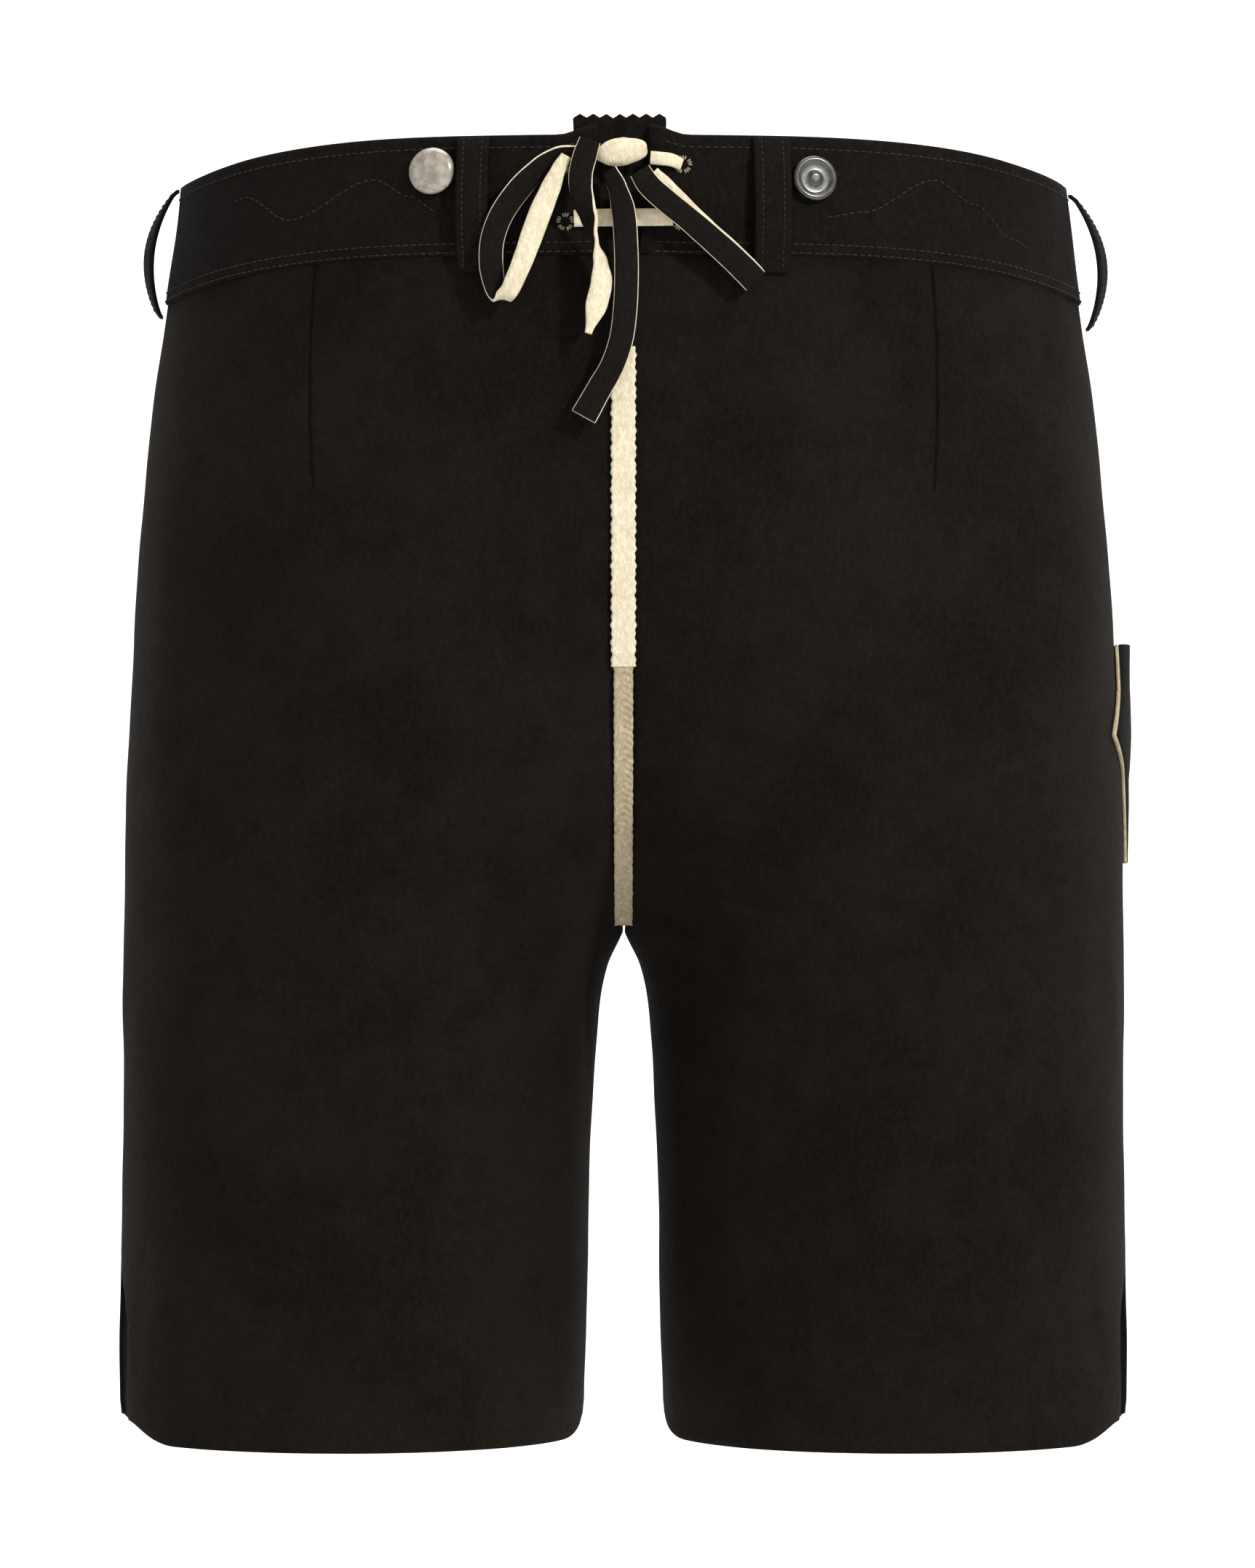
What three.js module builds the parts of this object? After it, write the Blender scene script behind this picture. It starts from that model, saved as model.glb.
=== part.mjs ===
// Short leather breeches with a fall front, filled out as if worn.
// Millimetres, +Z up. The front faces -Y, the back faces +Y and the wearer's left is +X.
// z = 0 is the top edge of the waistband at the side seams.
import * as THREE from "three";

// ---------------------------------------------------------------- driving dimensions
const SEAM_GAP = 0.3; // clearance between two pieces sewn edge to edge
const LAY_GAP = 0.4; // clearance under a piece that lies on another
const SUEDE = 1.8; // thickness of the panels
const BAND_THICK = 2.6; // two layers of leather
const BAND_PROUD = 1.0; // how far the band's face stands in front of the panels
const BAND_HEIGHT = 47;
const BACK_RISE = 12.5; // the band's top edge at the centre back, above the sides
const FRONT_DROP = 16; // and at the centre front, below them
const HEM_BACK = -508.5; // hem level at the middle of the leg
const HEM_RISE = 7; // the hem's corners at the vent and the inseam are cut away by this much
const FORK_Z = -305; // crotch point
const NOTCH_RISE = 4.5; // the band's corners beside the centre-back notch stand up by this much
const VENT_TOP = -421; // the side seam is open below this level
const VENT_SHIFT = 18; // degrees by which the vent's edge has moved back at the hem
const VENT_EASE = 42; // over this length below the top of the vent
const PANEL_ROWS = 26;
const PANEL_COLUMNS = 15;

// Half of the body at each level: the half section runs from x = inner to x = outer, with its depths behind
// and in front of the side seam. Where inner is negative the two halves meet at x = 0; above FORK_Z they are
// one body and below it each is a leg of its own. "square" is the exponent of the rounded outline.
const SECTIONS = [
  { z: 25, inner: -179, outer: 179, back: 113, front: 110, square: 2.0 },
  { z: 0, inner: -180.6, outer: 180.6, back: 115, front: 112, square: 2.0 },
  { z: -50, inner: -184, outer: 187, back: 121, front: 115, square: 2.0 },
  { z: -100, inner: -160, outer: 194, back: 129, front: 117, square: 2.05 },
  { z: -150, inner: -120, outer: 198.5, back: 134.5, front: 117, square: 2.1 },
  { z: -200, inner: -78, outer: 201.5, back: 136, front: 115, square: 2.15 },
  { z: -250, inner: -36, outer: 203.6, back: 132, front: 112, square: 2.2 },
  { z: -285, inner: -9, outer: 204.3, back: 126, front: 109, square: 2.2 },
  { z: -305, inner: 0.4, outer: 204.4, back: 121.5, front: 107, square: 2.2 },
  { z: -318, inner: 6.5, outer: 204.5, back: 119, front: 106, square: 2.2 },
  { z: -340, inner: 10.6, outer: 204.6, back: 116, front: 104, square: 2.15 },
  { z: -400, inner: 13.9, outer: 204.9, back: 112, front: 101, square: 2.1 },
  { z: -460, inner: 15.2, outer: 206.3, back: 109, front: 99, square: 2.1 },
  { z: -515, inner: 16.6, outer: 206.0, back: 107, front: 98, square: 2.1 },
];

// The largest soft folds of the hide: a straight line on a panel from (turn0, z0) to (turn1, z1), in degrees
// round the half section (0 at the side seam, 90 at the middle of the back, -90 of the front), how wide the
// fold is and how far it stands out (+) or falls in (-).
const FOLDS = [
  { turn0: 118, z0: -215, turn1: 70, z1: -265, width: 20, height: -2.4 },
  { turn0: 128, z0: -262, turn1: 82, z1: -300, width: 15, height: -1.8 },
  { turn0: 30, z0: -120, turn1: 38, z1: -260, width: 26, height: 1.6 },
  { turn0: 60, z0: -330, turn1: 52, z1: -480, width: 26, height: -1.6 },
  { turn0: 100, z0: -340, turn1: 96, z1: -490, width: 22, height: 1.5 },
  { turn0: -112, z0: -225, turn1: -62, z1: -282, width: 18, height: -2.4 },
  { turn0: -70, z0: -330, turn1: -58, z1: -470, width: 24, height: -1.5 },
];

// Half the width of the centre-back notch, from the top of the band down to where the seam closes.
const NOTCH = [
  { z: 20, half: 11 },
  { z: -20, half: 9.5 },
  { z: -40, half: 4.5 },
  { z: -60, half: 1.6 },
  { z: -76, half: SEAM_GAP / 2 },
];

// ---------------------------------------------------------------- the body's surface
const rad = THREE.MathUtils.degToRad;
const clamp = THREE.MathUtils.clamp;
const lerp = THREE.MathUtils.lerp;
const ease = THREE.MathUtils.smoothstep;

// A column of SECTIONS at any level, through the rows by a cubic whose slope at a row is its neighbours'.
function sectionColumn(column, z) {
  const last = SECTIONS.length - 1;
  let i = 0;
  while (i < last - 1 && z < SECTIONS[i + 1].z) i++;
  const slope = (k) => {
    const above = SECTIONS[Math.max(k - 1, 0)];
    const below = SECTIONS[Math.min(k + 1, last)];
    return (below[column] - above[column]) / (below.z - above.z);
  };
  const a = SECTIONS[i];
  const b = SECTIONS[i + 1];
  const run = b.z - a.z;
  const t = (z - a.z) / run;
  return (
    (2 * t ** 3 - 3 * t ** 2 + 1) * a[column] +
    (t ** 3 - 2 * t ** 2 + t) * run * slope(i) +
    (-2 * t ** 3 + 3 * t ** 2) * b[column] +
    (t ** 3 - t ** 2) * run * slope(i + 1)
  );
}

function sectionAt(z) {
  const inner = sectionColumn("inner", z);
  const outer = sectionColumn("outer", z);
  return {
    centre: (outer + inner) / 2,
    half: (outer - inner) / 2,
    back: sectionColumn("back", z),
    front: sectionColumn("front", z),
    square: sectionColumn("square", z),
  };
}

// The outline of the wearer's left half at a turn in radians: x and y.
function outline(section, turn) {
  const c = Math.cos(turn);
  const s = Math.sin(turn);
  const q = (Math.abs(c) ** section.square + Math.abs(s) ** section.square) ** (-1 / section.square);
  const depth = s > 0 ? section.back : section.front;
  return [section.centre + section.half * c * q, depth * s * q];
}

// The turn, from 90 to 180 degrees, at which the half section reaches the given x on its inner side.
function turnAtX(section, x) {
  let low = Math.PI / 2;
  let high = Math.PI;
  if (section.centre - section.half >= x) return high;
  if (outline(section, low)[0] <= x) {
    low = 0;
    high = Math.PI / 2;
  }
  for (let i = 0; i < 40; i++) {
    const mid = (low + high) / 2;
    if (outline(section, mid)[0] > x) low = mid;
    else high = mid;
  }
  return (low + high) / 2;
}

// How far the folds move the surface at a turn (degrees) and level.
function foldHeight(turn, z) {
  let height = 0;
  for (const fold of FOLDS) {
    const t = (z - fold.z0) / (fold.z1 - fold.z0);
    const along = ease(t, -0.25, 0.3) * (1 - ease(t, 0.7, 1.25));
    const across = ((turn - lerp(fold.turn0, fold.turn1, t)) * 1.8) / fold.width;
    height += fold.height * along * Math.exp(-across * across);
  }
  return height;
}

function onLeftHalf(turn, z) {
  const section = sectionAt(z);
  const [x, y] = outline(section, turn);
  return new THREE.Vector3(x, y, z);
}

// A point of the body's outer surface with its outward normal, moved out by "out".
function bodyPoint(turn, z, out = 0) {
  const step = 0.004;
  const point = onLeftHalf(turn, z);
  const round = onLeftHalf(turn + step, z).sub(onLeftHalf(turn - step, z));
  const up = onLeftHalf(turn, z + 1).sub(onLeftHalf(turn, z - 1));
  const normal = round.cross(up).normalize();
  point.addScaledVector(normal, out + foldHeight(THREE.MathUtils.radToDeg(turn), z));
  return { point, normal };
}

// The level of the band's top edge, by the sine of the turn.
function topEdge(turn) {
  const s = Math.sin(turn);
  return s > 0 ? BACK_RISE * ease(s, 0.08, 0.95) : -FRONT_DROP * ease(-s, 0.05, 1);
}

// The hem is level but for its cut corners.
function hemLevel(turn, start, end) {
  const corner = Math.min(Math.abs(turn - start), Math.abs(turn - end));
  return HEM_BACK + HEM_RISE * (1 - ease(corner, 0, rad(24)));
}

// ---------------------------------------------------------------- solids from grids of points
// A closed wall from two grids of points, [row][column], its outer face and its inner face.
function wall(outerGrid, innerGrid) {
  const rows = outerGrid.length;
  const columns = outerGrid[0].length;
  const positions = [];
  for (const grid of [outerGrid, innerGrid])
    for (const row of grid) for (const p of row) positions.push(p.x, p.y, p.z);
  const at = (face, r, c) => face * rows * columns + r * columns + c;
  const index = [];
  const quad = (a, b, c, d) => index.push(a, b, c, a, c, d);
  for (let r = 0; r < rows - 1; r++)
    for (let c = 0; c < columns - 1; c++) {
      quad(at(0, r, c), at(0, r + 1, c), at(0, r + 1, c + 1), at(0, r, c + 1));
      quad(at(1, r, c), at(1, r, c + 1), at(1, r + 1, c + 1), at(1, r + 1, c));
    }
  for (let r = 0; r < rows - 1; r++) {
    quad(at(0, r, 0), at(1, r, 0), at(1, r + 1, 0), at(0, r + 1, 0));
    quad(at(0, r, columns - 1), at(0, r + 1, columns - 1), at(1, r + 1, columns - 1), at(1, r, columns - 1));
  }
  for (let c = 0; c < columns - 1; c++) {
    quad(at(0, 0, c), at(0, 0, c + 1), at(1, 0, c + 1), at(1, 0, c));
    quad(at(0, rows - 1, c), at(1, rows - 1, c), at(1, rows - 1, c + 1), at(0, rows - 1, c + 1));
  }
  return facingOut(positions, index);
}

// A geometry whose triangles are all turned over if together they face inwards.
function facingOut(positions, index) {
  const corner = (i) => new THREE.Vector3().fromArray(positions, index[i] * 3);
  let volume = 0;
  for (let i = 0; i < index.length; i += 3) volume += corner(i).dot(corner(i + 1).cross(corner(i + 2)));
  if (volume < 0) for (let i = 0; i < index.length; i += 3) [index[i + 1], index[i + 2]] = [index[i + 2], index[i + 1]];
  const geometry = new THREE.BufferGeometry();
  geometry.setAttribute("position", new THREE.Float32BufferAttribute(positions, 3));
  geometry.setIndex(index);
  geometry.computeVertexNormals();
  return geometry;
}

// A closed wall whose outer and inner faces are both made by point(u, v, depth), u across and v down, where
// depth is 0 on the outer face and the wall's thickness on the inner one.
function madeWall(rows, columns, thickness, pointAt) {
  const grids = [0, thickness].map((depth) =>
    Array.from({ length: rows }, (_, r) =>
      Array.from({ length: columns }, (_, c) => pointAt(c / (columns - 1), r / (rows - 1), depth)),
    ),
  );
  return wall(...grids);
}

// ---------------------------------------------------------------- materials
const material = (color, roughness, metalness = 0) =>
  new THREE.MeshStandardMaterial({ color, roughness, metalness, side: THREE.DoubleSide });
const brownSuede = () => material(0x1f1a15, 0.95);
const blackLeather = () => material(0x110d0c, 0.7);
const creamLeather = () => material(0xd8c9a3, 0.9);

const garment = new THREE.Group();
function add(name, geometry, finish) {
  const mesh = new THREE.Mesh(geometry, finish);
  mesh.name = name;
  garment.add(mesh);
  return mesh;
}
const SIDES = [
  { word: "left", side: 1 },
  { word: "right", side: -1 },
];

// A point behind (+Y side) or in front of the body's surface at a given x and level.
function pointAtX(x, z, out, face = 1) {
  const side = x < 0 ? -1 : 1;
  const { point, normal } = bodyPoint(face * turnAtX(sectionAt(z), Math.abs(x)), z, out);
  point.x *= side;
  normal.x *= side;
  return { point, normal };
}

function notchHalf(z) {
  let i = 0;
  while (i < NOTCH.length - 2 && z < NOTCH[i + 1].z) i++;
  return lerp(NOTCH[i].half, NOTCH[i + 1].half, clamp((z - NOTCH[i].z) / (NOTCH[i + 1].z - NOTCH[i].z), 0, 1));
}

// ---------------------------------------------------------------- back and front panels
// The side seam in radians; the back panel's edge swings back below the top of the vent.
const seamTurn = (z) => rad(2) + rad(VENT_SHIFT) * ease(-z, -VENT_TOP, VENT_EASE - VENT_TOP);
const halfGap = (z) => SEAM_GAP / 2 / sectionColumn("front", z);

// Where a panel starts: at the centre seam, or at the inseam below the fork.
function startTurn(z, centreX) {
  return Math.min(turnAtX(sectionAt(z), centreX), Math.PI - halfGap(z));
}

// Level of a panel row: closer rows near the fork.
function panelLevel(v, top, hem) {
  const half = 0.5;
  if (v < half) return lerp(top, FORK_Z, 1 - (1 - v / half) ** 1.35);
  return lerp(FORK_Z, hem, (v / half - 1) ** 1.25);
}

function panel(face, side) {
  const back = face > 0;
  const centreX = (z) => (back ? Math.max(notchHalf(z), SEAM_GAP / 2) : SEAM_GAP / 2);
  const edge = (z) => (back ? seamTurn(z) + halfGap(z) : halfGap(z) - rad(2));
  const turnAt = (u, z) => lerp(startTurn(z, centreX(z)), edge(z), u);
  return madeWall(PANEL_ROWS, PANEL_COLUMNS, SUEDE, (u, v, depth) => {
    const topTurn = turnAt(u, -BAND_HEIGHT) * face;
    const top = topEdge(topTurn) - BAND_HEIGHT - SEAM_GAP;
    const legTurn = turnAt(u, HEM_BACK);
    const hem = hemLevel(legTurn, startTurn(HEM_BACK, 0), edge(HEM_BACK));
    const z = panelLevel(v, top, hem);
    const { point } = bodyPoint(turnAt(u, z) * face, z, -depth);
    point.x = Math.max(point.x, SEAM_GAP / 2) * side;
    return point;
  });
}

for (const { word, side } of SIDES) {
  add("back_panel_" + word, panel(1, side), brownSuede());
  add("front_panel_" + word, panel(-1, side), brownSuede());
}

// ---------------------------------------------------------------- waistband
function bandPiece(face, side) {
  return madeWall(4, 15, BAND_THICK, (u, v, depth) => {
    const guess = topEdge((face * Math.PI) / 2 * (1 - u));
    let z = guess - v * BAND_HEIGHT;
    const centreX = face > 0 ? notchHalf(z) : SEAM_GAP / 2;
    const turn = lerp(turnAtX(sectionAt(z), centreX), halfGap(z), u ** 0.85) * face;
    z = topEdge(turn) - v * BAND_HEIGHT;
    const { point } = bodyPoint(turn, z, BAND_PROUD - depth);
    if (face > 0) point.z += NOTCH_RISE * (1 - v) * (1 - ease(point.x, 9, 26));
    point.x = Math.max(point.x, SEAM_GAP / 2) * side;
    return point;
  });
}

for (const { word, side } of SIDES) {
  add("waistband_back_" + word, bandPiece(1, side), blackLeather());
  add("waistband_front_" + word, bandPiece(-1, side), blackLeather());
}

// ---------------------------------------------------------------- tongue behind the centre-back notch
const TONGUE = { top: 21.5, bottom: -80, left: 20, right: -17, teeth: 7, tooth: 1.6, fold: 4, thick: 1.4, behind: 2.6 };

add(
  "back_tongue",
  madeWall(8, 2 * TONGUE.teeth + 1, TONGUE.thick, (u, v, depth) => {
    const x = lerp(TONGUE.right, TONGUE.left, u) * lerp(1, 0.75, v);
    const column = Math.round(u * 2 * TONGUE.teeth);
    const z = lerp(TONGUE.top, TONGUE.bottom, v) + (v === 0 && column % 2 ? -TONGUE.tooth : 0);
    const crease = 1.6 * Math.exp(-(((x - TONGUE.fold) / 3) ** 2));
    return pointAtX(x, z, -TONGUE.behind - crease - depth).point;
  }),
  blackLeather(),
);

// ---------------------------------------------------------------- fall-front flap
const FLAP = { topHalf: 76, bottomHalf: 70, below: 3, bottom: -196, tuck: 16 };

// How far a piece that lies over the band and the panels stands from the body's surface.
const overBand = (z, bandFoot) => BAND_PROUD * ease(z, bandFoot - FLAP.tuck, bandFoot - SEAM_GAP) + LAY_GAP;

add(
  "fall_flap",
  madeWall(12, 17, SUEDE, (u, v, depth) => {
    const x = lerp(FLAP.topHalf, FLAP.bottomHalf, v) * (2 * u - 1);
    const bandTop = topEdge(-turnAtX(sectionAt(-20), Math.abs(x)));
    const z = lerp(bandTop - FLAP.below, FLAP.bottom, v);
    return pointAtX(x, z, overBand(z, bandTop - BAND_HEIGHT) + SUEDE - depth, -1).point;
  }),
  brownSuede(),
);

// ---------------------------------------------------------------- welt in the centre-back seam
const WELT = { wide: 8.9, narrow: 7, thick: 1.8, top: -72, change: -197, bottom: -300, bed: 0.5 };

// A strip that lies over the seam, straight across from one panel to the other.
function welt(width, top, bottom, rows) {
  return madeWall(rows, 3, WELT.thick, (u, v, depth) => {
    const z = lerp(top, bottom, v);
    const bed = pointAtX(width / 2, z, 0);
    const slope = Math.atan2(bed.normal.z, bed.normal.y);
    const out = WELT.bed + WELT.thick - depth;
    const x = (u - 0.5) * width;
    return new THREE.Vector3(x, bed.point.y + out * Math.cos(slope), z + out * Math.sin(slope));
  });
}

add("seat_welt_upper", welt(WELT.wide, WELT.top, WELT.change + SEAM_GAP, 12), creamLeather());
add("seat_welt_lower", welt(WELT.narrow, WELT.change, WELT.bottom, 16), creamLeather());

// ---------------------------------------------------------------- belt loops
const LOOP_THICK = 1.6;
const LOOP_BELOW = 7.5; // how far a loop's foot lies below the band's lower seam
const BACK_LOOPS = [
  { word: "left", x: 58.6, width: 11.8, stand: 4.5 },
  { word: "right", x: -57.8, width: 13.6, stand: 4.5 },
];
const SIDE_LOOPS = [
  { word: "left", side: 1, turn: 2.5, halfTurn: 3.2, stand: 8.6, yaw: 2.8, top: -1, foot: -53 },
  { word: "right", side: -1, turn: 2.5, halfTurn: 3.2, stand: 9.8, yaw: 2.8, top: -3, foot: -58 },
];

for (const loop of BACK_LOOPS)
  add(
    "belt_loop_back_" + loop.word,
    madeWall(13, 3, LOOP_THICK, (u, v, depth) => {
      const x = loop.x + (u - 0.5) * loop.width;
      const top = topEdge(turnAtX(sectionAt(0), Math.abs(loop.x)));
      const z = lerp(top - 0.5, top - BAND_HEIGHT - LOOP_BELOW, v);
      const stand = loop.stand * Math.sin(Math.PI * v) ** 0.7;
      return pointAtX(x, z, BAND_PROUD + LAY_GAP + LOOP_THICK + stand - depth).point;
    }),
    blackLeather(),
  );

for (const loop of SIDE_LOOPS)
  add(
    "belt_loop_side_" + loop.word,
    madeWall(15, 3, LOOP_THICK, (u, v, depth) => {
      const turn = rad(loop.turn + (u - 0.5) * 2 * loop.halfTurn);
      const z = lerp(loop.top, loop.foot, v);
      const arch = Math.sin(Math.PI * v) ** 0.75;
      const out = BAND_PROUD + LAY_GAP + LOOP_THICK + arch * (loop.stand - loop.yaw * (u - 0.5)) - depth;
      const { point } = bodyPoint(turn, z, out);
      point.x *= loop.side;
      return point;
    }),
    blackLeather(),
  );

// ---------------------------------------------------------------- buttons
// Half sections from the shank's foot to the flat middle of the face: radius and height.
const DOMED = [
  { r: 0, h: 0 },
  { r: 2.6, h: 0 },
  { r: 2.6, h: 1.3 },
  { r: 8.4, h: 1.7 },
  { r: 9.4, h: 2.4 },
  { r: 9.2, h: 3.2 },
  { r: 7.6, h: 4.5 },
  { r: 5.2, h: 5.4 },
  { r: 2.4, h: 5.8 },
  { r: 0, h: 5.8 },
];
const DISHED = [
  { r: 0, h: 0 },
  { r: 2.6, h: 0 },
  { r: 2.6, h: 1.3 },
  { r: 8.2, h: 1.7 },
  { r: 9.0, h: 2.6 },
  { r: 8.7, h: 3.6 },
  { r: 7.4, h: 4.0 },
  { r: 6.4, h: 3.2 },
  { r: 2.6, h: 3.2 },
  { r: 2.2, h: 3.8 },
  { r: 0, h: 3.8 },
];
const BUTTONS = [
  { name: "brace_button_back_left", x: 74.8, z: -1.5, face: 1, profile: DOMED, out: 0, color: 0xb9bbb6 },
  { name: "brace_button_back_right", x: -74.6, z: -4.4, face: 1, profile: DISHED, out: 0, color: 0x6f7678 },
  { name: "brace_button_front_left", x: 98, z: -32, face: -1, profile: DISHED, out: 0, color: 0x6f7678 },
  { name: "brace_button_front_right", x: -98, z: -32, face: -1, profile: DISHED, out: 0, color: 0x6f7678 },
  { name: "flap_button_left", x: 64, z: -33, face: -1, profile: DISHED, out: SUEDE + LAY_GAP, color: 0x6f7678 },
  { name: "flap_button_right", x: -64, z: -33, face: -1, profile: DISHED, out: SUEDE + LAY_GAP, color: 0x6f7678 },
];

for (const button of BUTTONS) {
  const points = button.profile.map(({ r, h }) => new THREE.Vector2(r, h));
  const seat = pointAtX(button.x, button.z, BAND_PROUD + LAY_GAP + button.out, button.face);
  const mesh = add(button.name, new THREE.LatheGeometry(points, 24), material(button.color, 0.35));
  mesh.position.copy(seat.point);
  mesh.quaternion.setFromUnitVectors(new THREE.Vector3(0, 1, 0), seat.normal);
}

// ---------------------------------------------------------------- knife pocket at the right side seam
// The pocket's back edge as turns in degrees down its height, with the edge's point towards the back.
const POCKET_EDGE = [
  { z: -187, turn: 7 },
  { z: -204, turn: 8 },
  { z: -224, turn: 19 },
  { z: -242, turn: 4.5 },
  { z: -252, turn: 5.5 },
  { z: -276, turn: 2.5 },
];
const POCKET = { front: -13, thick: 1.8, mouth: 5.2, foot: 0.8, edging: 1.5, edgingThick: 1.4 };

function pocketEdge(z) {
  let i = 0;
  while (i < POCKET_EDGE.length - 2 && z < POCKET_EDGE[i + 1].z) i++;
  const [a, b] = [POCKET_EDGE[i], POCKET_EDGE[i + 1]];
  return lerp(a.turn, b.turn, (z - a.z) / (b.z - a.z));
}

function pocketPart(columns, thickness, turnAt, outAt) {
  const top = POCKET_EDGE[0].z;
  const foot = POCKET_EDGE[POCKET_EDGE.length - 1].z;
  return madeWall(21, columns, thickness, (u, v, depth) => {
    const z = lerp(top, foot, v);
    const { point } = bodyPoint(rad(turnAt(u, z)), z, outAt(u, v) - depth);
    point.x *= -1;
    return point;
  });
}

add(
  "knife_pocket",
  pocketPart(
    9,
    POCKET.thick,
    (u, z) => lerp(pocketEdge(z), POCKET.front, u),
    (u, v) => LAY_GAP + POCKET.thick + lerp(POCKET.mouth, POCKET.foot, v ** 0.8) * Math.sin(Math.PI * u) ** 0.7,
  ),
  blackLeather(),
);
add(
  "knife_pocket_edging",
  pocketPart(
    2,
    POCKET.edgingThick,
    (u, z) => pocketEdge(z) + 0.2 + (1 - u) * POCKET.edging,
    () => LAY_GAP + POCKET.edgingThick,
  ),
  creamLeather(),
);

// ---------------------------------------------------------------- lace
// A flat thong. Each route is a hand-laid list of points on its middle line: x, how far behind the body's
// surface it lies, z, the direction across the thong in the plane of the back (degrees from +X towards +Z)
// and how far that direction is tipped out of the plane (degrees towards +Y).
const LACE = { width: 9.6, thick: 1.8 };
const KNOT = { x: 0.8, z: 5.4, out: 7.2, halfWidth: 10.6, halfHeight: 5.4, halfDepth: 4.6, tilt: 8 };

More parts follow.
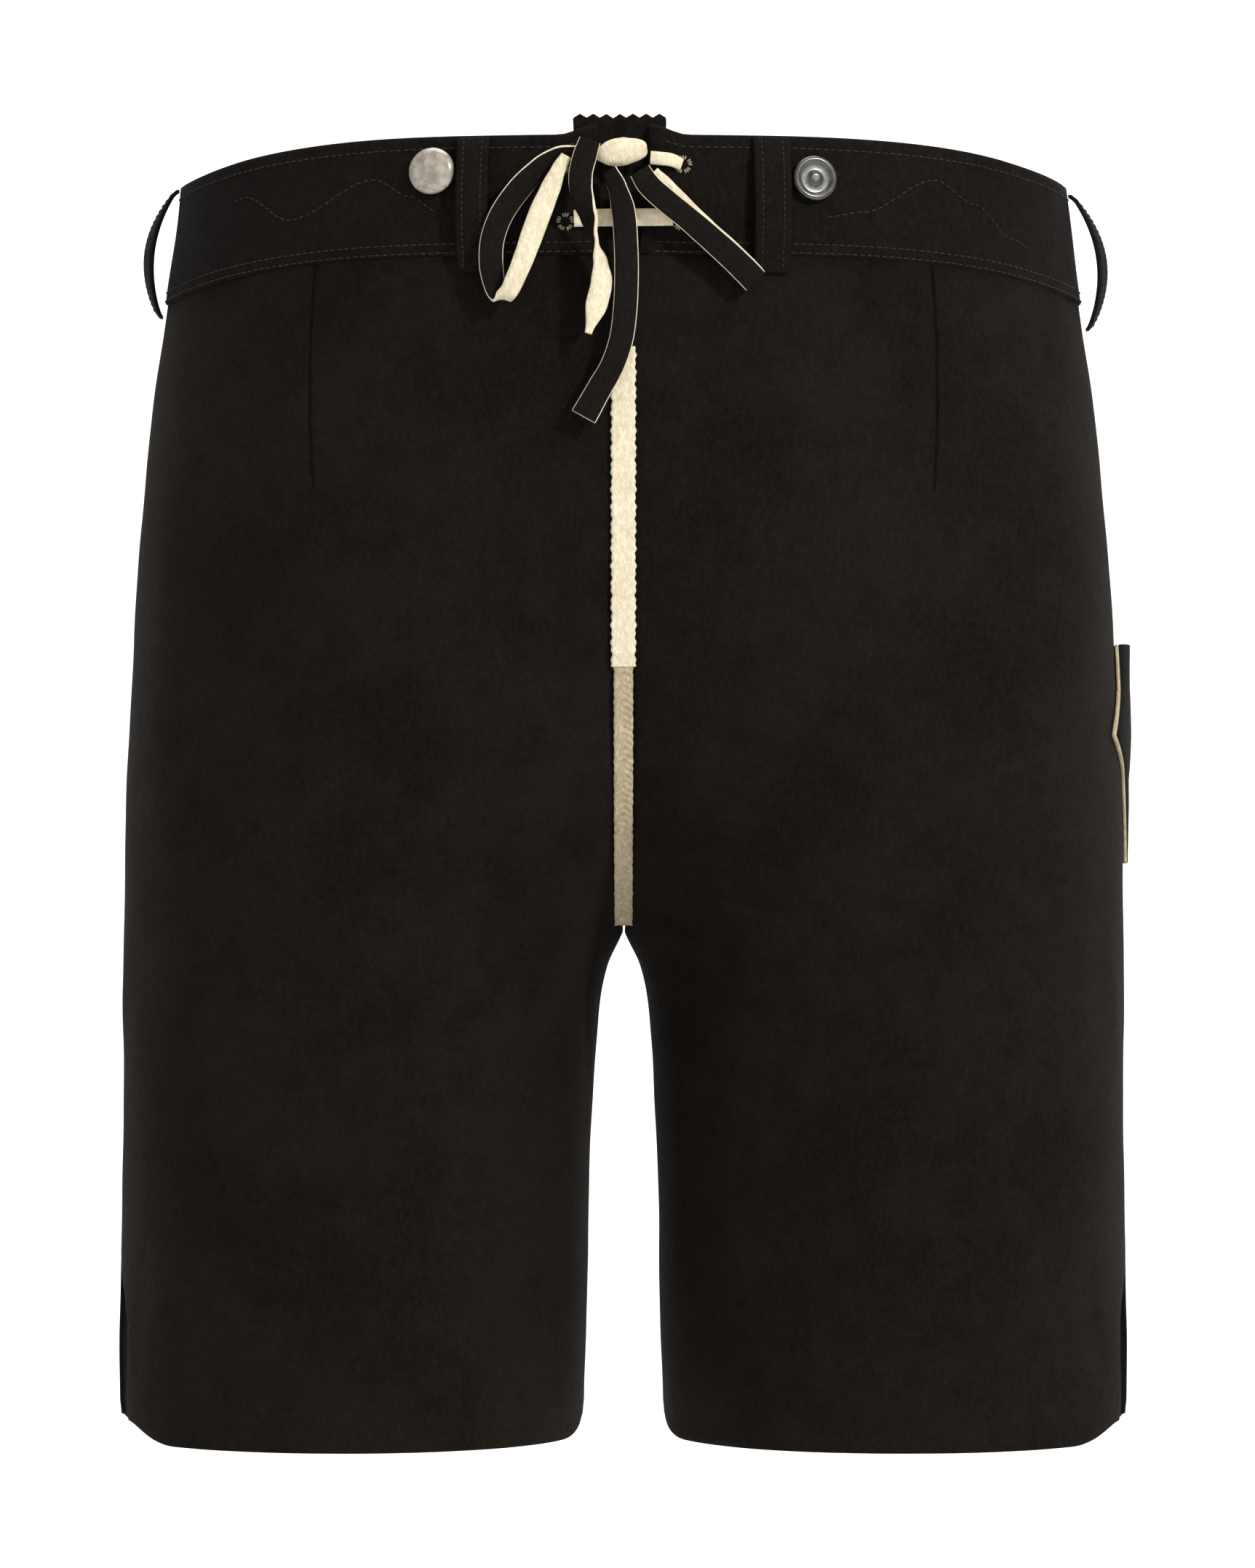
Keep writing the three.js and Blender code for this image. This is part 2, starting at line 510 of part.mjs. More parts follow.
const LACE_ROUTES = {
  lace_crossing: [
    { x: 19.5, out: 3.0, z: -20.7, across: 90, tip: 0, width: 0.7 },
    { x: 13, out: 3.2, z: -20.5, across: 90, tip: 0, width: 0.72 },
    { x: 0, out: 3.4, z: -20.4, across: 90, tip: 0, width: 0.72 },
    { x: -10, out: 3.2, z: -20.3, across: 90, tip: 0, width: 0.72 },
    { x: -19.5, out: 3.1, z: -20.2, across: 90, tip: 0, width: 0.7 },
  ],
  lace_to_eyelet_left: [
    { x: 11.9, out: 4.6, z: 4.0, across: 80, tip: 0, width: 0.55 },
    { x: 15.5, out: 4.4, z: 3.9, across: 84, tip: 0, width: 0.55 },
    { x: 19, out: 3.4, z: 3.1, across: 88, tip: 0, width: 0.55 },
    { x: 22.5, out: 2.7, z: 1.6, across: 90, tip: 0, width: 0.5 },
  ],
  lace_to_eyelet_right: [
    { x: -10.6, out: 5.8, z: 3.2, across: 90, tip: 0, width: 0.55 },
    { x: -14.5, out: 5.6, z: 2.9, across: 90, tip: 0, width: 0.55 },
    { x: -19, out: 4.2, z: 2.4, across: 88, tip: 0, width: 0.55 },
    { x: -22.8, out: 2.7, z: 0.8, across: 80, tip: 0, width: 0.5 },
  ],
  lace_loop_left: [
    { x: 16.5, out: 7.4, z: 5.6, across: 64, tip: 20, width: 0.5 },
    { x: 25.8, out: 7.0, z: 4.4, across: 58, tip: 30, width: 0.7 },
    { x: 33.2, out: 7.4, z: -0.8, across: 50, tip: 24, width: 0.9 },
    { x: 41.6, out: 8.8, z: -9.9, across: 44, tip: 10, width: 1 },
    { x: 48.2, out: 9.8, z: -19.8, across: 30, tip: 4, width: 1 },
    { x: 51.6, out: 10.0, z: -29.6, across: 12, tip: 0, width: 1 },
    { x: 52.0, out: 9.6, z: -39.5, across: -4, tip: 0, width: 1 },
    { x: 50.4, out: 8.8, z: -48.0, across: -14, tip: 0, width: 0.9 },
    { x: 48.0, out: 9.6, z: -52.2, across: 0, tip: 0, width: 0.8 },
    { x: 45.2, out: 12.0, z: -50.4, across: 14, tip: 0, width: 0.75 },
    { x: 42.0, out: 13.2, z: -44.0, across: 20, tip: 0, width: 0.8 },
    { x: 38.6, out: 13.4, z: -35.6, across: 22, tip: 0, width: 0.86 },
    { x: 35.6, out: 13.2, z: -27.0, across: 22, tip: 0, width: 0.92 },
    { x: 32.4, out: 12.6, z: -18.4, across: 23, tip: 0, width: 0.92 },
    { x: 28.8, out: 11.4, z: -9.6, across: 25, tip: 0, width: 0.82 },
    { x: 25.4, out: 10.8, z: -1.6, across: 30, tip: 0, width: 0.6 },
    { x: 22.6, out: 10.2, z: 3.6, across: 36, tip: 0, width: 0.45 },
  ],
  lace_loop_right: [
    { x: -6.4, out: 12.2, z: -2.6, across: -24, tip: 0, width: 0.9 },
    { x: -9.8, out: 12.4, z: -8.0, across: -34, tip: 0, width: 0.98 },
    { x: -16.6, out: 12.2, z: -14.3, across: -47, tip: 0, width: 1 },
    { x: -24.4, out: 11.8, z: -20.6, across: -51, tip: 0, width: 1 },
    { x: -32.8, out: 11.2, z: -27.8, across: -50, tip: 0, width: 1.04 },
    { x: -41.6, out: 10.4, z: -35.6, across: -48, tip: 0, width: 1.08 },
    { x: -48.8, out: 10.8, z: -42.6, across: -46, tip: 0, width: 1.1 },
    { x: -51.6, out: 9.0, z: -45.4, across: -46, tip: 0, width: 1.1 },
    { x: -49.2, out: 7.2, z: -42.4, across: -46, tip: 0, width: 1.1 },
    { x: -41.6, out: 6.9, z: -34.6, across: -46, tip: 0, width: 1.06 },
    { x: -32.2, out: 6.8, z: -25.8, across: -47, tip: 0, width: 1 },
    { x: -23.6, out: 7.0, z: -16.8, across: -48, tip: 0, width: 0.9 },
    { x: -16.2, out: 8.8, z: -8.4, across: -48, tip: 0, width: 0.75 },
    { x: -11.4, out: 9.0, z: -3.2, across: -50, tip: 0, width: 0.6 },
  ],
  lace_end_short: [
    { x: 13.2, out: 11.6, z: 9.6, across: 24, tip: 0, width: 0.9 },
    { x: 15.2, out: 12.4, z: 3.2, across: 20, tip: 0, width: 1 },
    { x: 16.8, out: 12.9, z: -4.2, across: 6, tip: -6, width: 1 },
    { x: 16.2, out: 13.1, z: -12.4, across: -11, tip: -22, width: 1 },
    { x: 13.6, out: 13.0, z: -20.8, across: -17, tip: -50, width: 1 },
    { x: 11.0, out: 13.0, z: -29.6, across: -16, tip: -84, width: 1 },
    { x: 9.0, out: 12.8, z: -38.2, across: -8, tip: -118, width: 1 },
    { x: 8.6, out: 12.6, z: -46.6, across: 5, tip: -146, width: 1 },
    { x: 10.4, out: 12.6, z: -55.0, across: 14, tip: -160, width: 0.95 },
    { x: 13.8, out: 12.8, z: -67.0, across: 16, tip: -168, width: 0.6 },
  ],
  lace_end_long: [
    { x: 5.6, out: 9.6, z: -2.2, across: -28, tip: -20, width: 0.7 },
    { x: 2.4, out: 10.4, z: -9.0, across: -22, tip: -12, width: 0.8 },
    { x: 0.0, out: 10.6, z: -18.7, across: -10, tip: -4, width: 1 },
    { x: -1.0, out: 10.2, z: -31.8, across: -3, tip: 0, width: 1 },
    { x: -1.2, out: 9.8, z: -45.0, across: 0, tip: 0, width: 1 },
    { x: -0.6, out: 9.4, z: -58.2, across: 4, tip: 0, width: 1 },
    { x: 1.0, out: 9.2, z: -69.6, across: 13, tip: 0, width: 1 },
    { x: 4.4, out: 9.0, z: -79.6, across: 24, tip: 0, width: 1 },
    { x: 9.4, out: 9.0, z: -88.6, across: 29, tip: 0, width: 1.04 },
    { x: 15.6, out: 9.2, z: -99.8, across: 28, tip: 0, width: 1.1 },
  ],
};

// A thong swept along its route: a strip of its width and thickness, its width held in the given direction.
function thong(route) {
  const steps = 3 * (route.length - 1);
  const middle = new THREE.CatmullRomCurve3(
    route.map(({ x, out, z }) => new THREE.Vector3(x, pointAtX(x, z, 0).point.y + out, z)),
    false,
    "centripetal",
  );
  const column = (name, t) => {
    const at = Math.min(t * (route.length - 1), route.length - 1 - 1e-9);
    const i = Math.floor(at);
    return lerp(route[i][name], route[i + 1][name], ease(at - i, 0, 1));
  };
  return madeWall(steps + 1, 2, LACE.thick, (u, v, depth) => {
    const centre = middle.getPoint(v);
    const along = middle.getTangent(v);
    const across = rad(column("across", v));
    const tip = rad(column("tip", v));
    const wide = new THREE.Vector3(Math.cos(tip) * Math.cos(across), Math.sin(tip), Math.cos(tip) * Math.sin(across));
    wide.addScaledVector(along, -wide.dot(along)).normalize();
    const face = new THREE.Vector3().crossVectors(wide, along);
    centre.addScaledVector(wide, (u - 0.5) * LACE.width * column("width", v));
    return centre.addScaledVector(face, depth - LACE.thick / 2);
  });
}

for (const [name, route] of Object.entries(LACE_ROUTES)) add(name, thong(route), blackLeather());

const knot = add("lace_knot", new THREE.SphereGeometry(1, 16, 10), creamLeather());
knot.scale.set(KNOT.halfWidth, KNOT.halfDepth, KNOT.halfHeight);
knot.position.set(KNOT.x, pointAtX(KNOT.x, KNOT.z, KNOT.out).point.y, KNOT.z);
knot.rotation.y = rad(KNOT.tilt);

export default garment;
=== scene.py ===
# Short suede breeches with a fall front, seen from behind and filled out as if worn.
# Metres in the row's frame: +Z up, +Y towards the wearer's back, +X towards the wearer's left.
import math

import bpy
import numpy as np
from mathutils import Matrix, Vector


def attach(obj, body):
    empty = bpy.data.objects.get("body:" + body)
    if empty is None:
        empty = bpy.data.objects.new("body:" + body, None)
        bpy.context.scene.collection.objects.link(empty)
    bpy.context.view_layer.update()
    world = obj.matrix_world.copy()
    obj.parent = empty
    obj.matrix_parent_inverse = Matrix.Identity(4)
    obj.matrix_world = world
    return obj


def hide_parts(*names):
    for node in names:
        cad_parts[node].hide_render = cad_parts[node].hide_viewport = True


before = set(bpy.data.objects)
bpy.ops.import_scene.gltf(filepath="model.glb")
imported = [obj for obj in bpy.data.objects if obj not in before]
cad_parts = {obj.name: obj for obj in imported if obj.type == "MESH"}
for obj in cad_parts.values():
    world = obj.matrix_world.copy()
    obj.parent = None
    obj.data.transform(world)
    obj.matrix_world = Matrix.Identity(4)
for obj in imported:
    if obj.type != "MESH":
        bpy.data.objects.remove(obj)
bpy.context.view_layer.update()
MM = 0.001

# ---------------------------------------------------------------- back and front panels
# Each leg is a back and a front panel of soft suede, joined at the side seam and inseam; the back pair meets
# in the welted seat seam under a laced notch, and the side seam is left open at the hem as a vent.

# The cut of the breeches, as half sections of the left side in millimetres: where a section's inner edge is
# negative the two halves meet at the centre seams, and below the fork each one is a leg.
SECTIONS = np.array(
    # z, inner, outer, back depth, front depth, squareness
    [
        (25, -179, 179, 113, 110, 2.0),
        (0, -180.6, 180.6, 115, 112, 2.0),
        (-50, -184, 187, 121, 115, 2.0),
        (-100, -160, 194, 129, 117, 2.05),
        (-150, -120, 198.5, 134.5, 117, 2.1),
        (-200, -78, 201.5, 136, 115, 2.15),
        (-250, -36, 203.6, 132, 112, 2.2),
        (-285, -9, 204.3, 126, 109, 2.2),
        (-305, 0.4, 204.4, 121.5, 107, 2.2),
        (-318, 6.5, 204.5, 119, 106, 2.2),
        (-340, 10.6, 204.6, 116, 104, 2.15),
        (-400, 13.9, 204.9, 112, 101, 2.1),
        (-460, 15.2, 206.3, 109, 99, 2.1),
        (-515, 16.6, 206.0, 107, 98, 2.1),
    ],
    float,
)
# The hide's soft folds: turn and level at each end (degrees round the half section, 90 at the middle of the
# back), width in degrees over 1.8, and height in millimetres, below zero for a trough.
FOLDS = [
    # turn0, z0, turn1, z1, width, height
    (118, -215, 70, -265, 20, -2.4),
    (128, -262, 82, -300, 15, -1.8),
    (30, -120, 38, -260, 26, 1.6),
    (60, -330, 52, -480, 26, -1.6),
    (100, -340, 96, -490, 22, 1.5),
    (-112, -225, -62, -282, 18, -2.4),
    (-70, -330, -58, -470, 24, -1.5),
]
SEAM_GAP, SUEDE, BAND_HEIGHT, FORK_Z, HEM_BACK, HEM_RISE = 0.3, 1.8, 47.0, -305.0, -508.5, 7.0


def smooth(x, low, high):
    """0 below low, 1 above high and a soft step between."""
    t = np.clip((np.asarray(x, float) - low) / (high - low), 0, 1)
    return t * t * (3 - 2 * t)


def section_column(column, z):
    """A column of SECTIONS at any level, by a cubic through the rows."""
    z = np.asarray(z, float)
    levels, values = SECTIONS[:, 0], SECTIONS[:, column]
    last = len(levels) - 1
    i = np.clip(np.searchsorted(-levels, -z, side="right") - 1, 0, last - 1)
    before, after = np.maximum(np.arange(last + 1) - 1, 0), np.minimum(np.arange(last + 1) + 1, last)
    slope = (values[after] - values[before]) / (levels[after] - levels[before])
    run = levels[i + 1] - levels[i]
    t = (z - levels[i]) / run
    return (
        (2 * t**3 - 3 * t**2 + 1) * values[i]
        + (t**3 - 2 * t**2 + t) * run * slope[i]
        + (3 * t**2 - 2 * t**3) * values[i + 1]
        + (t**3 - t**2) * run * slope[i + 1]
    )


def outline(turn, z):
    """Points of the left half's outline at turns in radians and levels in millimetres."""
    inner, outer = section_column(1, z), section_column(2, z)
    n = section_column(5, z)
    c, s = np.cos(turn), np.sin(turn)
    q = (np.abs(c) ** n + np.abs(s) ** n) ** (-1 / n)
    depth = np.where(s > 0, section_column(3, z), section_column(4, z))
    return np.stack([(inner + outer) / 2 + (outer - inner) / 2 * c * q, depth * s * q, z + 0 * s], -1)


def turn_at_x(x, z):
    """The turn, in radians, at which the left half reaches x on its inner side."""
    x, z = np.broadcast_arrays(np.asarray(x, float), np.asarray(z, float))
    low, high = np.zeros(x.shape), np.full(x.shape, math.pi)
    for _ in range(40):
        mid = (low + high) / 2
        beyond = outline(mid, z)[..., 0] > x
        low, high = np.where(beyond, mid, low), np.where(beyond, high, mid)
    return (low + high) / 2


def fold_height(turn, z):
    degrees = np.degrees(turn)
    height = np.zeros(np.broadcast(turn, z).shape)
    for turn0, z0, turn1, z1, width, top in FOLDS:
        t = (z - z0) / (z1 - z0)
        along = smooth(t, -0.25, 0.3) * (1 - smooth(t, 0.7, 1.25))
        across = (degrees - (turn0 + (turn1 - turn0) * t)) * 1.8 / width
        height = height + top * along * np.exp(-across * across)
    return height


def body_point(turn, z, out=0.0):
    """Points and outward normals of the left half's surface, moved out by out millimetres."""
    turn, z, out = np.broadcast_arrays(np.asarray(turn, float), np.asarray(z, float), np.asarray(out, float))
    step = 0.004
    around = outline(turn + step, z) - outline(turn - step, z)
    up = outline(turn, z + 1) - outline(turn, z - 1)
    normal = np.cross(around, up)
    normal /= np.linalg.norm(normal, axis=-1, keepdims=True)
    return outline(turn, z) + normal * (out + fold_height(turn, z))[..., None], normal


def at_x(x, z, out=0.0, face=1):
    """Points and normals at a given x (either side) and level, behind (face 1) or in front (face -1)."""
    x = np.asarray(x, float)
    side = np.where(x < 0, -1.0, 1.0)
    points, normals = body_point(face * turn_at_x(np.abs(x), z), z, out)
    points[..., 0] *= side
    normals[..., 0] *= side
    return points, normals


def top_edge(turn):
    """Level of the waistband's top edge."""
    s = np.sin(turn)
    return np.where(s > 0, 12.5 * smooth(s, 0.08, 0.95), -16.0 * smooth(-s, 0.05, 1))


def mesh_object(name, points, faces):
    """A smooth-shaded mesh from points in millimetres and a list or array of faces."""
    mesh = bpy.data.meshes.new(name)
    corners = [tuple(p) for p in np.asarray(points, float) * MM]
    mesh.from_pydata(corners, [], [tuple(int(i) for i in f) for f in faces])
    mesh.polygons.foreach_set("use_smooth", [True] * len(mesh.polygons))
    mesh.update()
    made = bpy.data.objects.new(name, mesh)
    bpy.context.scene.collection.objects.link(made)
    return made


def shell(name, outer, inner):
    """A closed leather wall between two grids of points [row][column], with its cut edge rounded a little."""
    rim_bulge, rim_lean = 0.35, 0.6
    rows, columns = outer.shape[:2]
    middle = (outer + inner) / 2
    bulge = rim_bulge * np.linalg.norm(outer - inner, axis=-1, keepdims=True)

    def edge(index_row, index_column, direction):
        return middle[index_row, index_column] + bulge[index_row, index_column] * direction

    def unit(v):
        return v / np.maximum(np.linalg.norm(v, axis=-1, keepdims=True), 1e-9)

    top = edge(0, slice(None), unit(outer[0] - outer[1]) * rim_lean)
    bottom = edge(-1, slice(None), unit(outer[-1] - outer[-2]) * rim_lean)
    start = edge(slice(None), 0, unit(outer[:, 0] - outer[:, 1]) * rim_lean)
    end = edge(slice(None), -1, unit(outer[:, -1] - outer[:, -2]) * rim_lean)
    ring = np.concatenate([top[:-1], end[:-1], bottom[::-1][:-1], start[::-1][:-1]])
    points = np.concatenate([outer.reshape(-1, 3), inner.reshape(-1, 3), ring])
    at = np.arange(rows * columns).reshape(rows, columns)
    a, b, c, d = (g.ravel() for g in (at[:-1, :-1], at[1:, :-1], at[1:, 1:], at[:-1, 1:]))
    other = rows * columns
    border = np.concatenate([at[0, :-1], at[:-1, -1], at[-1, ::-1][:-1], at[::-1, 0][:-1]])
    rim = 2 * other + np.arange(len(border))
    ahead, rim_ahead = np.roll(border, -1), np.roll(rim, -1)
    faces = np.concatenate(
        [
            np.stack([a, b, c, d], 1),
            np.stack([a, d, c, b], 1) + other,
            np.stack([border, ahead, rim_ahead, rim], 1),
            np.stack([rim, rim_ahead, ahead + other, border + other], 1),
        ]
    )
    # the faces are turned over together if the grid runs the other way round
    v0, v1, v2 = (points[faces[: len(a), k]] for k in range(3))
    facing = np.einsum("ij,ij->i", np.cross(v1 - v0, v2 - v0), (outer - inner)[:-1, :-1].reshape(-1, 3))
    if facing.sum() < 0:
        faces = faces[:, ::-1]
    return mesh_object(name, points, faces)


def grid(rows, columns):
    """u across and v down, as arrays of rows by columns."""
    return np.meshgrid(np.linspace(0, 1, columns), np.linspace(0, 1, rows))


def wire(tree, kind, inputs=(), **settings):
    """A shader node of that kind in the tree, with its settings and its inputs: values or other sockets."""
    made = tree.nodes.new(kind)
    for key, value in settings.items():
        setattr(made, key, value)
    for key, value in dict(inputs).items():
        if isinstance(value, bpy.types.NodeSocket):
            tree.links.new(value, made.inputs[key])
        else:
            made.inputs[key].default_value = value
    return made


def maths(tree, operation, a, b=0.0, c=0.0, clamp=False):
    return wire(tree, "ShaderNodeMath", {0: a, 1: b, 2: c}, operation=operation, use_clamp=clamp).outputs[0]


def ranged(tree, value, low, high, to_low=0.0, to_high=1.0):
    """value taken from low..high to to_low..to_high with soft ends."""
    sockets = {"Value": value, "From Min": low, "From Max": high, "To Min": to_low, "To Max": to_high}
    return wire(tree, "ShaderNodeMapRange", sockets, interpolation_type="SMOOTHSTEP").outputs["Result"]


def mix_colour(tree, share, a, b, blend="MIX"):
    return wire(tree, "ShaderNodeMix", {0: share, 6: a, 7: b}, data_type="RGBA", blend_type=blend).outputs[2]


def noise(tree, vector, scale, detail=3.0, roughness=0.5):
    sockets = {"Vector": vector, "Scale": scale, "Detail": detail, "Roughness": roughness}
    return wire(tree, "ShaderNodeTexNoise", sockets).outputs["Fac"]


def new_group(name, inputs, outputs):
    """A shader node group with named sockets, given as (name, kind, default) and (name, kind)."""
    tree = bpy.data.node_groups.new(name, "ShaderNodeTree")
    for label, kind, default in inputs:
        socket = tree.interface.new_socket(label, in_out="INPUT", socket_type="NodeSocket" + kind)
        if default is not None:
            socket.default_value = default
    for label, kind in outputs:
        tree.interface.new_socket(label, in_out="OUTPUT", socket_type="NodeSocket" + kind)
    return tree, tree.nodes.new("NodeGroupInput").outputs, tree.nodes.new("NodeGroupOutput").inputs


def make_nap_group():
    """The nap of suede: broad mottling, fine tufts that lie down one way, and pale flecks where rubbed."""
    inputs = [
        ("Vector", "Vector", None),
        ("Deep", "Color", (0.01, 0.008, 0.006, 1)),
        ("Raised", "Color", (0.02, 0.016, 0.012, 1)),
        ("Fleck", "Color", (0.1, 0.08, 0.06, 1)),
        ("Mottle", "Float", 0.5),
        ("Flecks", "Float", 0.3),
        ("Nap Scale", "Float", 1.0),
    ]
    outputs = [("Colour", "Color"), ("Roughness", "Float"), ("Height", "Float")]
    tree, given, out = new_group("suede nap", inputs, outputs)
    vector = given["Vector"]
    lying = wire(
        tree, "ShaderNodeMapping", {"Vector": vector, "Rotation": (0.2, 0.5, 0.9), "Scale": (1, 0.45, 0.6)}
    ).outputs[0]
    nap_vector = wire(
        tree, "ShaderNodeVectorMath", {0: lying, "Scale": given["Nap Scale"]}, operation="SCALE"
    ).outputs[0]
    clouds = noise(tree, vector, 17, 4, 0.55)
    blotches = noise(tree, vector, 75, 3, 0.6)
    tufts = noise(tree, nap_vector, 620, 3, 0.62)
    fine = noise(tree, nap_vector, 2300, 2, 0.6)
    broad = maths(tree, "MULTIPLY_ADD", blotches, 0.38, maths(tree, "MULTIPLY", clouds, 0.62))
    broad = ranged(tree, broad, 0.36, 0.64)
    grain = maths(tree, "ADD", maths(tree, "MULTIPLY", tufts, 0.6), maths(tree, "MULTIPLY", fine, 0.4))
    grain = ranged(tree, grain, 0.34, 0.68)
    share = maths(tree, "MULTIPLY", broad, given["Mottle"])
    share = maths(tree, "MULTIPLY_ADD", maths(tree, "SUBTRACT", 1.0, given["Mottle"]), grain, share)
    colour = mix_colour(tree, share, given["Deep"], given["Raised"])
    flecks = ranged(tree, noise(tree, vector, 1250, 2, 0.7), 0.66, 0.76)
    worn = ranged(tree, noise(tree, vector, 40, 3, 0.6), 0.42, 0.68)
    flecks = maths(tree, "MULTIPLY", maths(tree, "MULTIPLY", flecks, worn), given["Flecks"])
    tree.links.new(mix_colour(tree, flecks, colour, given["Fleck"]), out["Colour"])
    tree.links.new(maths(tree, "MULTIPLY_ADD", grain, -0.12, 0.97), out["Roughness"])
    height = maths(tree, "ADD", maths(tree, "MULTIPLY", blotches, 0.35), grain)
    tree.links.new(height, out["Height"])
    return tree


NAP = make_nap_group()


def principled(
    name, nodes_for, bump_mm=0.2, sheen=0.0, sheen_roughness=0.5, specular=0.3, coat=0.0, tint=None
):
    """A material whose colour, roughness and height come from nodes_for(tree, object coordinates)."""
    material = bpy.data.materials.new(name)
    material.use_nodes = True
    tree = material.node_tree
    shader = tree.nodes["Principled BSDF"]
    where = tree.nodes.new("ShaderNodeTexCoord").outputs["Object"]
    colour, roughness, height = nodes_for(tree, where)
    for socket, value in (("Base Color", colour), ("Roughness", roughness)):
        if isinstance(value, bpy.types.NodeSocket):
            tree.links.new(value, shader.inputs[socket])
        else:
            shader.inputs[socket].default_value = value
    if height is not None:
        bump = wire(tree, "ShaderNodeBump", {"Height": height, "Strength": 1.0, "Distance": bump_mm * MM})
        tree.links.new(bump.outputs[0], shader.inputs["Normal"])
    shader.inputs["Specular IOR Level"].default_value = specular
    shader.inputs["Sheen Weight"].default_value = sheen
    shader.inputs["Sheen Roughness"].default_value = sheen_roughness
    shader.inputs["Coat Weight"].default_value = coat
    shader.inputs["Coat Roughness"].default_value = 0.12
    if tint is not None:
        shader.inputs["Sheen Tint"].default_value = tint
    return material


def nap_nodes(tree, where, **values):
    group = wire(tree, "ShaderNodeGroup", {}, node_tree=NAP)
    tree.links.new(where, group.inputs["Vector"])
    for label, value in values.items():
        group.inputs[label.replace("_", " ")].default_value = value
    return group.outputs["Colour"], group.outputs["Roughness"], group.outputs["Height"]


# a dart's line in millimetres: its x at the middle level, how much it bows, and its ends
DART_X, DART_BOW, DART_MIDDLE = 125, 0.98e-3, -82
DART_TOP, DART_FOOT = -36, -129


def panel_nodes(tree, where):
    """Deep brown suede; on the back the two darts are drawn in as thin pinched seams."""
    colour, roughness, height = nap_nodes(
        tree,
        where,
        Deep=(0.0036, 0.0024, 0.0017, 1),
        Raised=(0.0112, 0.0082, 0.0058, 1),
        Fleck=(0.075, 0.062, 0.045, 1),
        Mottle=0.45,
        Flecks=0.35,
    )
    axes = wire(tree, "ShaderNodeSeparateXYZ", {0: where}).outputs
    from_middle = maths(tree, "SUBTRACT", axes["Z"], DART_MIDDLE * MM)
    bowed = maths(tree, "MULTIPLY", maths(tree, "MULTIPLY", from_middle, from_middle), DART_BOW / MM)
    wobble = maths(tree, "MULTIPLY", noise(tree, where, 160, 2), 0.0012)
    off = maths(tree, "SUBTRACT", maths(tree, "ABSOLUTE", axes["X"]), DART_X * MM)
    off = maths(tree, "ABSOLUTE", maths(tree, "ADD", maths(tree, "ADD", off, bowed), wobble))
    line = ranged(tree, off, 0.00035, 0.00105, 1.0, 0.0)
    for value, low, high in ((axes["Z"], DART_FOOT * MM, (DART_FOOT + 4) * MM), (axes["Y"], 0.0, 0.01)):
        line = maths(tree, "MULTIPLY", line, ranged(tree, value, low, high))
    below_top = ranged(tree, axes["Z"], (DART_TOP - 2) * MM, DART_TOP * MM, 1.0, 0.0)
    line = maths(tree, "MULTIPLY", line, below_top)
    broken = maths(tree, "MULTIPLY", line, ranged(tree, noise(tree, where, 700, 2), 0.3, 0.6, 0.55, 1.0))
    colour = mix_colour(tree, broken, colour, (0.002, 0.0014, 0.001, 1))
    height = maths(tree, "MULTIPLY_ADD", line, -2.5, height)
    return colour, roughness, height


BROWN_SUEDE = principled(
    "deep brown suede",
    panel_nodes,
    0.3,
    sheen=0.012,
    sheen_roughness=0.42,
    specular=0.05,
    tint=(1, 0.86, 0.7, 1),
)


def finish_piece(piece, material, slot, *nodes):
    """Gives a piece its material and body, and lets it stand for its CAD nodes; slot is not used."""
    piece.data.materials.clear()
    for m in material if isinstance(material, (list, tuple)) else [material]:
        piece.data.materials.append(m)
    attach(piece, "root")
    if nodes:
        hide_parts(*nodes)
    return piece


PANEL_ROWS, PANEL_COLUMNS = 190, 116
NOTCH_LEVELS, NOTCH_HALVES = (-76, -60, -40, -20, 20), (0.15, 1.6, 4.5, 9.5, 11)
# small creases that only the leather shows, in the columns of FOLDS
CREASES = [
    (136, -272, 104, -292, 7, -1.3),
    (146, -286, 122, -304, 6, -1.1),
    (92, -236, 66, -246, 8, -0.9),
    (74, -66, 70, -118, 9, 0.7),
    (50, -60, 44, -96, 10, -0.6),
    (24, -300, 16, -350, 10, 0.8),
    (64, -176, 47, -204, 11, -0.7),
    (140, -330, 128, -372, 9, 0.9),
    (36, -430, 30, -486, 8, -0.8),
    (84, -410, 88, -455, 9, -0.6),
    (-130, -276, -100, -296, 8, -1.3),
    (-142, -290, -118, -308, 7, -1.0),
    (-40, -90, -46, -150, 12, -0.9),
    (-84, -236, -60, -252, 9, -1.0),
    (-100, -350, -92, -410, 12, 0.9),
    (-30, -330, -38, -400, 10, 0.8),
    (-70, -430, -66, -480, 10, -0.8),
]


def notch_half(z):
    return np.interp(z, NOTCH_LEVELS, NOTCH_HALVES)


def half_gap(z):
    return SEAM_GAP / 2 / section_column(4, z)


def vent_edge(z):
    return math.radians(2) + math.radians(18) * smooth(-z, 421, 463)


def start_turn(z, centre_x):
    return np.minimum(turn_at_x(centre_x, z), math.pi - half_gap(z))


def panel_level(v, top, hem):
    upper = top + (FORK_Z - top) * (1 - np.clip(1 - 2 * v, 0, 1) ** 1.35)
    lower = FORK_Z + (hem - FORK_Z) * np.clip(2 * v - 1, 0, 1) ** 1.25
    return np.where(v < 0.5, upper, lower)


def panel_turn(face, u, z):
    back = face > 0
    centre_x = np.maximum(notch_half(z), SEAM_GAP / 2) if back else SEAM_GAP / 2
    edge = vent_edge(z) + half_gap(z) if back else half_gap(z) - math.radians(2)
    return start_turn(z, centre_x) * (1 - u) + edge * u


